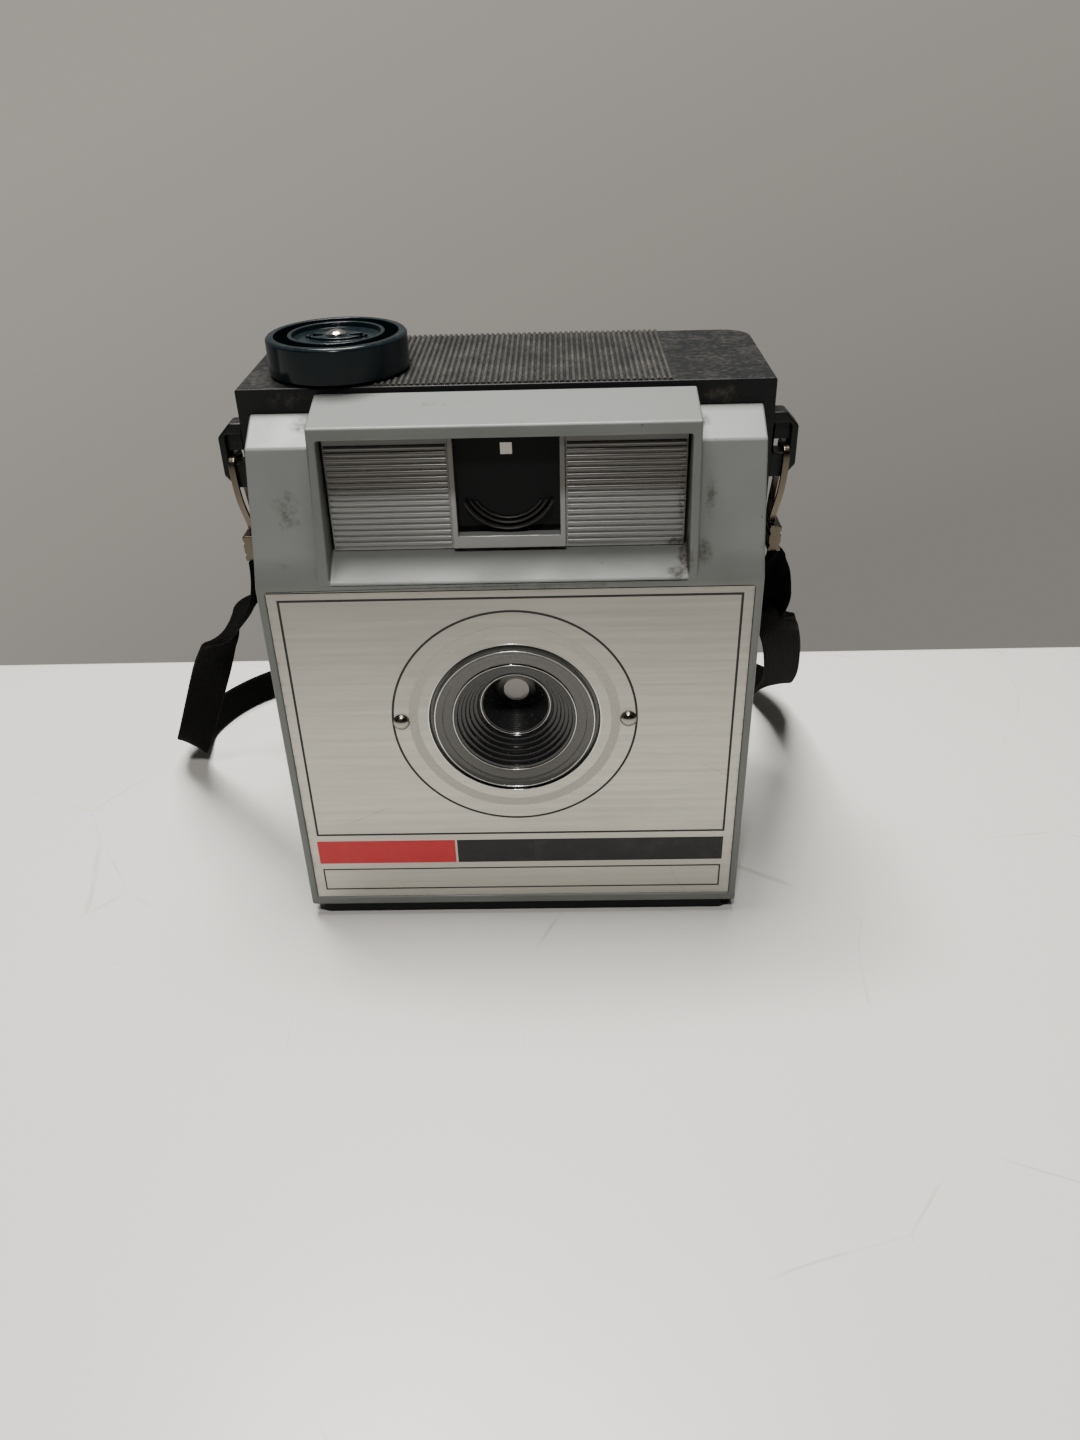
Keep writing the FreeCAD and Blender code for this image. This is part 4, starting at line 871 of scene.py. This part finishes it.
# ---------------------------------------------------------------- strap and its fittings
@dataclass(frozen=True)
class RibbonRun:
    """One half of the strap: its route and how its width lies."""

    name: str
    body: str
    node: str
    length: float
    route: tuple[Point, ...]
    lie: tuple[tuple[float, Point], ...]
    follow_to: Point
    width: float = 8.0
    thick: float = 1.2

    def centre_line(self) -> list[Vector]:
        """Points along the route's smooth line, in metres."""
        curve = bpy.data.curves.new(self.name + "_line", "CURVE")
        curve.dimensions = "3D"
        curve.resolution_u = 14
        spline = curve.splines.new("NURBS")
        spline.points.add(len(self.route) - 1)
        for point, place in zip(spline.points, self.route):
            point.co = (*mm(*place), 1.0)
        spline.order_u = 3
        spline.use_endpoint_u = True
        holder = bpy.data.objects.new(self.name + "_line", curve)
        bpy.context.scene.collection.objects.link(holder)
        line = bpy.data.meshes.new_from_object(holder)
        points = [vertex.co.copy() for vertex in line.vertices]
        bpy.data.objects.remove(holder, do_unlink=True)
        bpy.data.meshes.remove(line)
        return points

    def width_at(self, part: float) -> Vector:
        """Direction of the ribbon's width at a part of its length, from 0 to 1."""
        for (start, a), (end, b) in zip(self.lie, self.lie[1:]):
            if part <= end:
                t = max(0.0, min(1.0, (part - start) / (end - start)))
                t = t * t * (3.0 - 2.0 * t)
                return Vector(a).lerp(Vector(b), t)
        return Vector(self.lie[-1][1])

    def section(self) -> list[tuple[float, float]]:
        """Half width and half thickness round the ribbon, with slightly thicker edges."""
        half, thick = self.width / 2, self.thick / 2
        top = [(-1.0, 0.45), (-0.955, 0.9), (-0.88, 1.0), (-0.7, 0.82), (-0.35, 0.78), (0.0, 0.8),
               (0.35, 0.78), (0.7, 0.82), (0.88, 1.0), (0.955, 0.9), (1.0, 0.45)]
        ring = [(a * half, b * thick) for a, b in top]
        return ring + [(a, -b) for a, b in reversed(ring)]

    def build(self) -> None:
        """The ribbon's mesh with its own map, laid along the route."""
        line = self.centre_line()
        lengths = [0.0]
        for here, there in zip(line, line[1:]):
            lengths.append(lengths[-1] + (there - here).length)
        total, ring = lengths[-1], self.section()
        vertices, faces, maps = [], [], []
        for i, (point, run) in enumerate(zip(line, lengths)):
            along = (line[min(i + 1, len(line) - 1)] - line[max(i - 1, 0)]).normalized()
            wide = self.width_at(run / total)
            wide = (wide - along * wide.dot(along)).normalized()
            flat = along.cross(wide)
            vertices += [point + wide * (a * MM) + flat * (b * MM) for a, b in ring]
        count = len(ring)
        for i in range(len(line) - 1):
            for j in range(count):
                k = (j + 1) % count
                faces.append((i * count + j, i * count + k, (i + 1) * count + k, (i + 1) * count + j))
                for row, col in ((i, j), (i, k), (i + 1, k), (i + 1, j)):
                    maps.append((ring[col][0] / self.width + 0.5, lengths[row]))
        faces.append(tuple(reversed(range(count))))
        faces.append(tuple(range((len(line) - 1) * count, len(line) * count)))
        maps += [(ring[j][0] / self.width + 0.5, 0.0) for j in reversed(range(count))]
        maps += [(ring[j][0] / self.width + 0.5, total) for j in range(count)]
        mesh = bpy.data.meshes.new(self.name)
        mesh.from_pydata(vertices, [], faces)
        own = mesh.uv_layers.new(name="run")
        for item, place in zip(own.data, maps):
            item.uv = place
        piece = bpy.data.objects.new(self.name, mesh)
        bpy.context.scene.collection.objects.link(piece)
        with editing(piece):
            face_out()
        smooth(piece, 50.0)
        RIBBON.on(piece)
        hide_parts(self.node)
        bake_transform(piece)
        LOG.info("piece %s, %.0f mm long", self.name, total / MM)


LEFT_RUN = RibbonRun(
    "ribbon_left", "clip_l", "strap_left", 0.193,
    ((-47, -13.75, 72.8), (-47, -13.75, 67), (-50.2, -10.2, 60.5), (-56.5, -4, 54.8), (-62.5, 1.5, 47),
     (-67.5, 7, 37), (-73, 13, 25.5), (-79, 18.5, 12.5), (-83, 24, 5), (-83, 34, 4.3), (-79.5, 45, 4.3),
     (-71.5, 55, 4.3), (-58, 63, 4.3), (-40, 68.5, 4.3), (-20, 71, 4.3), (0, 71, 4.3)),
    ((0.0, (0.0, 1.0, 0.0)), (0.06, (0.15, 1.0, 0.1)), (0.13, (0.35, 0.55, 0.75)), (0.19, (0.9, 0.25, 0.35)),
     (0.27, (1.0, 0.15, -0.1)), (0.40, (1.0, 0.1, -0.25)), (0.455, (0.75, 0.0, -0.65)),
     (0.52, (0.12, 0.0, -1.0)), (0.6, (0.0, 0.0, -1.0)), (1.0, (0.0, 0.0, -1.0))),
    (-62.5, 1.5, 47.0))

RIGHT_RUN = RibbonRun(
    "ribbon_right", "clip_r", "strap_right", 0.164,
    ((47, -13.75, 72.8), (47, -13.75, 66.5), (49, -10.5, 59.5), (52, -3, 51), (55.5, 6.5, 41.5),
     (58.5, 17.5, 31), (61.5, 30, 19.5), (63, 42.5, 9), (60, 54, 4.3), (51, 63, 4.3), (37, 68.5, 4.3),
     (20, 71, 4.3), (0, 71, 4.3)),
    ((0.0, (0.0, 1.0, 0.0)), (0.022, (0.75, 0.6, 0.0)), (0.045, (1.0, 0.1, 0.0)), (0.06, (0.9, -0.4, 0.0)),
     (0.085, (0.38, -0.9, -0.2)), (0.12, (0.95, -0.35, -0.1)), (0.2, (1.0, 0.0, 0.15)),
     (0.5, (1.0, 0.0, 0.1)), (0.60, (0.7, 0.0, 0.7)), (0.68, (0.1, 0.0, 1.0)), (1.0, (0.0, 0.0, 1.0))),
    (58.5, 17.5, 31.0))


@dataclass(frozen=True)
class StrapFittings:
    """Clips, ferrules and both halves of the strap."""

    clip_x: float = 47.0
    lug_y: float = -13.75
    strip_width: float = 1.15
    strip_thick: float = 0.55
    ferrule_low: float = 72.8
    ferrule_high: float = 77.6
    ferrule_half: float = 1.1
    loop: tuple[tuple[float, float, float], ...] = (
        (-0.45, -1.35, 77.5), (-0.5, -1.6, 79.0), (-0.15, -2.3, 81.4), (0.35, -2.75, 84.0),
        (0.6, -2.85, 87.5), (0.7, -2.85, 90.4), (0.7, -2.6, 91.3), (0.7, -1.8, 91.7), (0.7, 0.0, 91.75),
        (0.7, 1.8, 91.7), (0.7, 2.6, 91.3), (0.7, 2.85, 90.4), (0.6, 2.85, 87.5), (0.35, 2.75, 84.0),
        (-0.15, 2.3, 81.4), (-0.5, 1.6, 79.0), (-0.45, 1.35, 77.5))

    def clip(self, side: int, body: str, name: str) -> None:
        """Bends a sprung strip into the loop through the lug."""
        x = side * self.clip_x - self.strip_width / 2
        points = [(x + side * out, self.lug_y + y, z) for out, y, z in self.loop]
        piece = draw(name, points)
        with editing(piece):
            bpy.ops.mesh.extrude_edges_move(TRANSFORM_OT_translate={"value": mm(self.strip_width, 0, 0)})
            face_out()
        modify(piece, "SUBSURF", levels=2, render_levels=2)
        modify(piece, "SOLIDIFY", thickness=self.strip_thick * MM, offset=0.0)
        soften(piece, 0.1)
        place_piece(piece, body, WARM, "warm_steel", name.replace("strip", "clip"))

    def ferrule(self, side: int, body: str, name: str, node: str) -> None:
        """Folds a crimped sleeve over the strap's end."""
        x, half = side * self.clip_x, self.ferrule_half
        rise = self.ferrule_high - self.ferrule_low
        wave = [(half, 0.0), (half, 0.16), (half - 0.28, 0.24), (half, 0.33), (half, 0.62),
                (half - 0.28, 0.71), (half, 0.80), (half, 0.95), (half - 0.3, 1.0)]
        outline = [(x + a, self.lug_y - 3.2, self.ferrule_low + b * rise) for a, b in wave]
        outline += [(x - a, self.lug_y - 3.2, self.ferrule_low + b * rise) for a, b in reversed(wave)]
        piece = pulled(name, outline, (0, 6.4, 0))
        soften(piece, 0.16, 3)
        place_piece(piece, body, WARM, "warm_steel", node)

    def build(self) -> None:
        """Both sides of the strap."""
        for run in (LEFT_RUN, RIGHT_RUN):
            run.build()
        for side, body, hand in ((-1, "clip_l", "left"), (1, "clip_r", "right")):
            self.clip(side, body, "strip_" + hand)
            self.ferrule(side, body, "sleeve_" + hand, "ferrule_" + hand)


# ---------------------------------------------------------------- case
@dataclass(frozen=True)
class Case:
    """Dark casing, its ribbed deck, lugs and the removable back."""

    rib_pitch: float = 1.0
    rib_from: float = -21.5
    rib_count: int = 50
    rib_rise: float = 0.34
    knob_clear: float = 12.55
    web_low: Point = (44.95, -14.75, 92.7)
    web_high: Point = (48.3, -12.75, 95.7)

    def ribs(self, name: str, first: Point, run: Point, step: Point, count: int, across: Point,
             out: Point) -> bpy.types.Object:
        """A field of half-round ribs, one drawn and the rest copied.

        Args:
            name: the object's name.
            first: where the first rib starts.
            run: the rib's length.
            step: from one rib to the next.
            count: how many.
            across: half the rib's width.
            out: the rib's height.

        Returns:
            The new object.
        """
        start, side, rise = Vector(first), Vector(across), Vector(out)
        section = [(-1.0, -0.25), (-1.0, 0.12), (-0.78, 0.62), (-0.42, 0.92), (0.0, 1.0), (0.42, 0.92),
                   (0.78, 0.62), (1.0, 0.12), (1.0, -0.25)]
        rib = pulled(name, [start + side * a + rise * b for a, b in section], run)
        modify(rib, "ARRAY", use_relative_offset=False, use_constant_offset=True,
               constant_offset_displace=mm(*step), count=count)
        smooth(rib)
        return rib

    def build(self) -> None:
        """Casing, deck, lugs and back."""
        place_piece(recast("main_body", "casing", 0.35, 3), "camera", DARK, "dark_plastic")
        deck = self.ribs("deck_ribs", (self.rib_from, JOINT_Y + 0.25, DECK_Z), (0, BACK_Y - JOINT_Y - 0.5, 0),
                         (self.rib_pitch, 0, 0), self.rib_count, (0.36, 0, 0), (0, 0, self.rib_rise))
        hole = turned("deck_hole", [(0, -2), (self.knob_clear, -2), (self.knob_clear, 2), (0, 2)],
                      (KNOB_X, KNOB_Y, DECK_Z), Axis.Z, 64, closed=False)
        cut(deck, hole)
        smooth(deck)
        place_piece(deck, "camera", DECK_GREY, "dark_plastic")
        for hand in ("left", "right"):
            place_piece(recast("strap_lug_" + hand, "lug_" + hand, 0.35, 3), "camera", DARK, "dark_plastic")
        for side, hand in ((-1, "left"), (1, "right")):
            inner, outer = sorted((side * self.web_low[0], side * self.web_high[0]))
            web = block("lug_web_" + hand, (inner, *self.web_low[1:]), (outer, *self.web_high[1:]))
            place_piece(web, "camera", DARK, "dark_plastic")
        place_piece(recast("rear_cover", "back_shell", 0.4, 3), "back", DARK, "dark_plastic")
        grip = [self.ribs(f"back_ribs_{i}", (-24.5, REAR_Y, low), (0, 0, rise), (1.0, 0, 0), 50, (0.36, 0, 0),
                          (0, 0.3, 0)) for i, (low, rise) in enumerate(((6.0, 30.0), (57.5, 16.0)))]
        place_piece(joined("back_ribs", grip), "back", DECK_GREY, "dark_plastic")
        RED.on(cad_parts["red_window"])
        place_piece(recast("rear_latch", "latch_button", 0.15), "latch", DARK, "dark_plastic")
        place_piece(recast("battery_door", "door_slide", 0.12), "door", DARK, "dark_plastic")


@dataclass(frozen=True)
class FrontShell:
    """Light front shell, bright plate, its print and rivets."""

    ink: float = 0.025
    line: float = 0.42
    rivet_x: float = 20.7

    def frame_line(self, name: str, x0: float, x1: float, z0: float, z1: float, finish: Finish,
                   line: float | None) -> None:
        """A printed rectangle, as an outline or filled.

        Args:
            name: the piece's name.
            x0: left edge.
            x1: right edge.
            z0: lower edge.
            z1: upper edge.
            finish: its ink.
            line: the line's width, or None for a filled field.
        """
        outer = [(x0, PLATE_Y, z0), (x1, PLATE_Y, z0), (x1, PLATE_Y, z1), (x0, PLATE_Y, z1)]
        piece = draw(name, outer, fill=True)
        self.lay(piece, line)
        place_piece(piece, "camera", finish)

    def lay(self, piece: bpy.types.Object, line: float | None) -> None:
        """Cuts a face down to its border line and gives the ink its film thickness."""
        with editing(piece):
            if line is not None:
                bpy.ops.mesh.inset(thickness=line * MM, depth=0.0)
                bpy.ops.mesh.delete(type="FACE")
                bpy.ops.mesh.select_all(action="SELECT")
            pull(mm(0, -self.ink, 0))

    def ring(self, name: str, radius: float, line: float, finish: Finish) -> None:
        """A printed ring round the lens."""
        bpy.ops.object.select_all(action="DESELECT")
        bpy.ops.mesh.primitive_circle_add(vertices=160, radius=radius * MM, fill_type="NGON",
                                          location=mm(0, PLATE_Y, LENS_Z), rotation=(math.pi / 2, 0, 0))
        piece = bpy.context.object
        piece.name = name
        settle(piece)
        self.lay(piece, line)
        place_piece(piece, "camera", finish)

    def rivets(self) -> None:
        """Two round heads on their stems."""
        arc = [(1.55 * math.sin(a), -1.12 * math.cos(a)) for a in (math.radians(d) for d in range(0, 91, 9))]
        profile = arc + [(1.55, 0.0), (0.9, 0.0), (0.9, 1.8), (0.0, 1.8)]
        heads = [turned(f"rivet_{side}", profile, (side * self.rivet_x, PLATE_Y, LENS_Z), Axis.Y, 40,
                        closed=False) for side in (-1, 1)]
        piece = joined("rivet_heads", heads)
        smooth(piece, 40.0)
        place_piece(piece, "camera", RIVET, "polished_steel", "plate_rivets")

    def build(self) -> None:
        """Shell, plate, print and rivets."""
        place_piece(recast("front_cover", "front_shell", 0.38, 3), "camera", LIGHT, "light_plastic")
        PLATE.on(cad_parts["face_plate"])
        self.frame_line("print_frame", -39.8, 39.8, 20.5, 71.7, INK, self.line)
        self.frame_line("print_box", -39.7, 39.55, 6.7, 12.1, INK, 0.30)
        self.frame_line("print_red", -40.0, -12.8, 13.5, 19.1, RED_INK, None)
        self.frame_line("print_black", -12.4, 39.7, 13.5, 19.1, INK, None)
        self.ring("print_circle", 22.4, 0.42, INK)
        self.ring("print_frost", 19.3, 1.7, FROST)
        self.rivets()


@dataclass(frozen=True)
class LensGroup:
    """Clear guard ring, stepped funnel and the rings on them."""

    rim: float = 15.65
    mouth: float = 11.3
    throat: float = 2.35
    ring: float = 6.5
    steps: int = 6
    stepped: float = 5.0
    depth: float = 10.35
    front: float = 0.75
    flange: float = 17.5
    ridges: int = 17

    def guard(self) -> None:
        """Turns the clear ring with its crest and sloping band."""
        rim, mouth = self.rim, self.mouth
        profile = [(mouth, 1.0), (mouth + 0.12, 0.82), (mouth + 0.9, 0.62), (mouth + 1.8, 0.42),
                   (mouth + 1.9, 0.28), (mouth + 2.1, 0.2), (mouth + 2.5, 0.12), (rim - 1.5, -0.02),
                   (rim - 1.32, -0.16), (rim - 1.1, -0.2), (rim - 0.9, -0.12), (rim - 0.8, 0.1),
                   (rim - 0.72, 0.5), (rim - 0.4, 0.62), (rim - 0.06, 0.7), (rim, 0.9), (rim, 1.7),
                   (self.flange, 1.7), (self.flange, 2.5), (rim - 1.4, 2.5), (rim - 2.2, 1.5), (mouth, 2.1)]
        piece = turned("guard_ring", profile, (0, FRONT_Y, LENS_Z), Axis.Y, 128)
        smooth(piece, 30.0)
        place_piece(piece, "camera", GUARD, "clear_plastic", "lens_guard")

    def funnel(self) -> None:
        """Turns the funnel: steps, a bright ring, then a cone with turning ridges."""
        points: list[tuple[float, float]] = []
        top = self.mouth - 0.7
        for i in range(self.steps):
            radius = top - (top - self.ring) * i / self.steps
            d0, d1 = self.stepped * i / self.steps, self.stepped * (i + 1) / self.steps
            points += [(radius, d0 + 0.04), (radius - 0.1, d0 + 0.22), (radius - 0.16, d1 - 0.14),
                       (radius - 0.3, d1 - 0.02)]
        points += [(self.ring + 0.1, self.stepped - 0.06), (self.ring - 0.05, self.stepped - 0.12),
                   (self.ring - 0.2, self.stepped + 0.02)]
        for i in range(1, self.ridges + 1):
            part = (i - 0.5) / self.ridges
            radius = (self.ring - 0.3) + (self.throat - self.ring + 0.3) * part
            depth = self.stepped + (self.depth - self.stepped) * part
            points += [(radius + 0.03, depth - 0.12), (radius - 0.05, depth + 0.02)]
        points += [(self.throat, self.depth), (self.throat + 1.05, self.depth),
                   (self.throat + 1.05, self.depth - 0.9), (self.ring + 1.3, self.stepped + 0.4),
                   (12.0, 2.6), (self.flange, 2.6), (self.flange, 1.85), (12.9, 1.85), (11.15, 1.3),
                   (11.15, 0.03)]
        piece = turned("funnel_steps", points, (0, FRONT_Y + self.front, LENS_Z), Axis.Y, 128)
        smooth(piece, 32.0)
        place_piece(piece, "camera", FUNNEL, "funnel_plastic", "lens_funnel")

    def glints(self) -> None:
        """Metal rings: the plate's lip, and stand-ins for the highlights along the guard's crest, its mouth
        and the ring where the steps end.
        """
        edges = ((self.rim + 0.07, 0.28, 0.12), (self.rim - 1.12, -0.2, 0.09),
                 (self.mouth - 0.05, 0.62, 0.08), (self.ring - 0.02, self.stepped + 0.6, 0.09))
        rings = []
        for i, (radius, depth, wire) in enumerate(edges):
            section = [(radius + wire * math.cos(a), depth + wire * math.sin(a))
                       for a in (math.tau * k / 8 for k in range(8))]
            rings.append(turned(f"edge_{i}", section, (0, FRONT_Y, LENS_Z), Axis.Y, 128))
        piece = joined("highlight_rings", rings)
        smooth(piece, 60.0)
        place_piece(piece, "camera", GLINT)

    def build(self) -> None:
        """Guard, funnel and highlight rings."""
        self.guard()
        self.funnel()
        self.glints()


@dataclass(frozen=True)
class Finder:
    """Ribbed panel, window and a painted light square for the eyepiece."""

    half: float = 29.9
    low: float = 78.1
    high: float = 98.0
    window: tuple[float, float, float, float] = (-8.4, 8.9, 80.75, 97.75)
    rib_pitch: float = 1.05
    ribs: int = 17
    eye: Point = (0.17, 95.1, 0.97)

    def panel(self) -> None:
        """Panel with its two rib fields and the raised window frame."""
        x0, x1, z0, z1 = self.window
        plate = block("panel", (-self.half, GRIP_Y, self.low), (self.half, GRIP_Y + 1.2, self.high))
        rim = block("rim", (x0 - 0.9, GRIP_Y - 0.95, self.low + 0.4), (x1 + 0.9, GRIP_Y + 0.4, self.high))
        cut(plate, rim, "UNION")
        cut(plate, block("opening", (x0, GRIP_Y - 3, z0), (x1, GRIP_Y + 3, z1)))
        soften(plate, 0.16)
        fields = [plate]
        for left, right in ((-self.half + 0.35, x0 - 1.25), (x1 + 1.25, self.half - 0.35)):
            fields.append(Case().ribs("grip", (left, GRIP_Y, 79.25), (right - left, 0, 0),
                                      (0, 0, self.rib_pitch), self.ribs, (0, 0, 0.43), (0, -0.42, 0)))
        place_piece(joined("grip_panel", fields), "camera", PANEL, "panel_plastic", "finder_panel")

    def moulding(self) -> None:
        """Dark surround inside the window with the rounded foot of the lens cell."""
        x0, x1, z0, z1 = self.window
        centre = ((x0 + x1) / 2, GRIP_Y + 0.1, 89.6)
        rings = []
        for i, (radius, depth) in enumerate(((7.9, 0.0), (7.0, 0.5), (6.3, 0.9))):
            profile = [(radius, depth), (radius + 0.12, depth - 0.08), (radius + 0.3, depth),
                       (radius + 0.3, depth + 0.8), (radius, depth + 0.8)]
            rings.append(turned(f"cell_{i}", profile, centre, Axis.Y, 72))
        piece = joined("window_cell", rings)
        cut(piece, block("upper", (-20, GRIP_Y - 5, 86.2), (20, GRIP_Y + 8, 120)))
        smooth(piece)
        place_piece(piece, "camera", DECK_GREY, "black_plastic")

    def painted_eye_square(self) -> None:
        """A painted bright square that stands in for the light seen through the rear opening in the front
        lens.
        """
        x, z, half = self.eye
        corners = [(x + a * half, GRIP_Y + 1.3, z + b * half)
                   for a, b in ((-1, -1), (1, -1), (1, 1), (-1, 1))]
        piece = pulled("painted_eye_square", corners, (0, 0.06, 0))
        place_piece(piece, "camera", PAINTED_EYE_LIGHT)

    def build(self) -> None:
        """Panel, window and the eyepiece's painted light square."""
        self.panel()
        self.moulding()
        self.painted_eye_square()


@dataclass(frozen=True)
class Winder:
    """Winding knob with its pin."""

    def build(self) -> None:
        """Knob and pin."""
        place_piece(recast("wind_knob", "knob", 0.14, 3), "winder", GLOSS_BLACK, "black_plastic")
        place_piece(recast("knob_pin", "pin", 0.18, 3), "winder", STEEL, "polished_steel")


def dress_kept() -> None:
    """Gives every frame node that stays its finish."""
    for finish, nodes in KEPT.items():
        for node in nodes:
            finish.on(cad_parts[node])


def main() -> None:
    """Builds the viewpoint, the strap, the case and everything on it."""
    logging.basicConfig(level=logging.INFO, format="%(message)s")
    for assembly in (Viewpoint(), Studio(), StrapFittings(), Case(), FrontShell(), LensGroup(), Finder(),
                     Winder()):
        assembly.build()
        LOG.info("built %s", type(assembly).__name__)
    dress_kept()


if __name__ == "__main__":
    main()
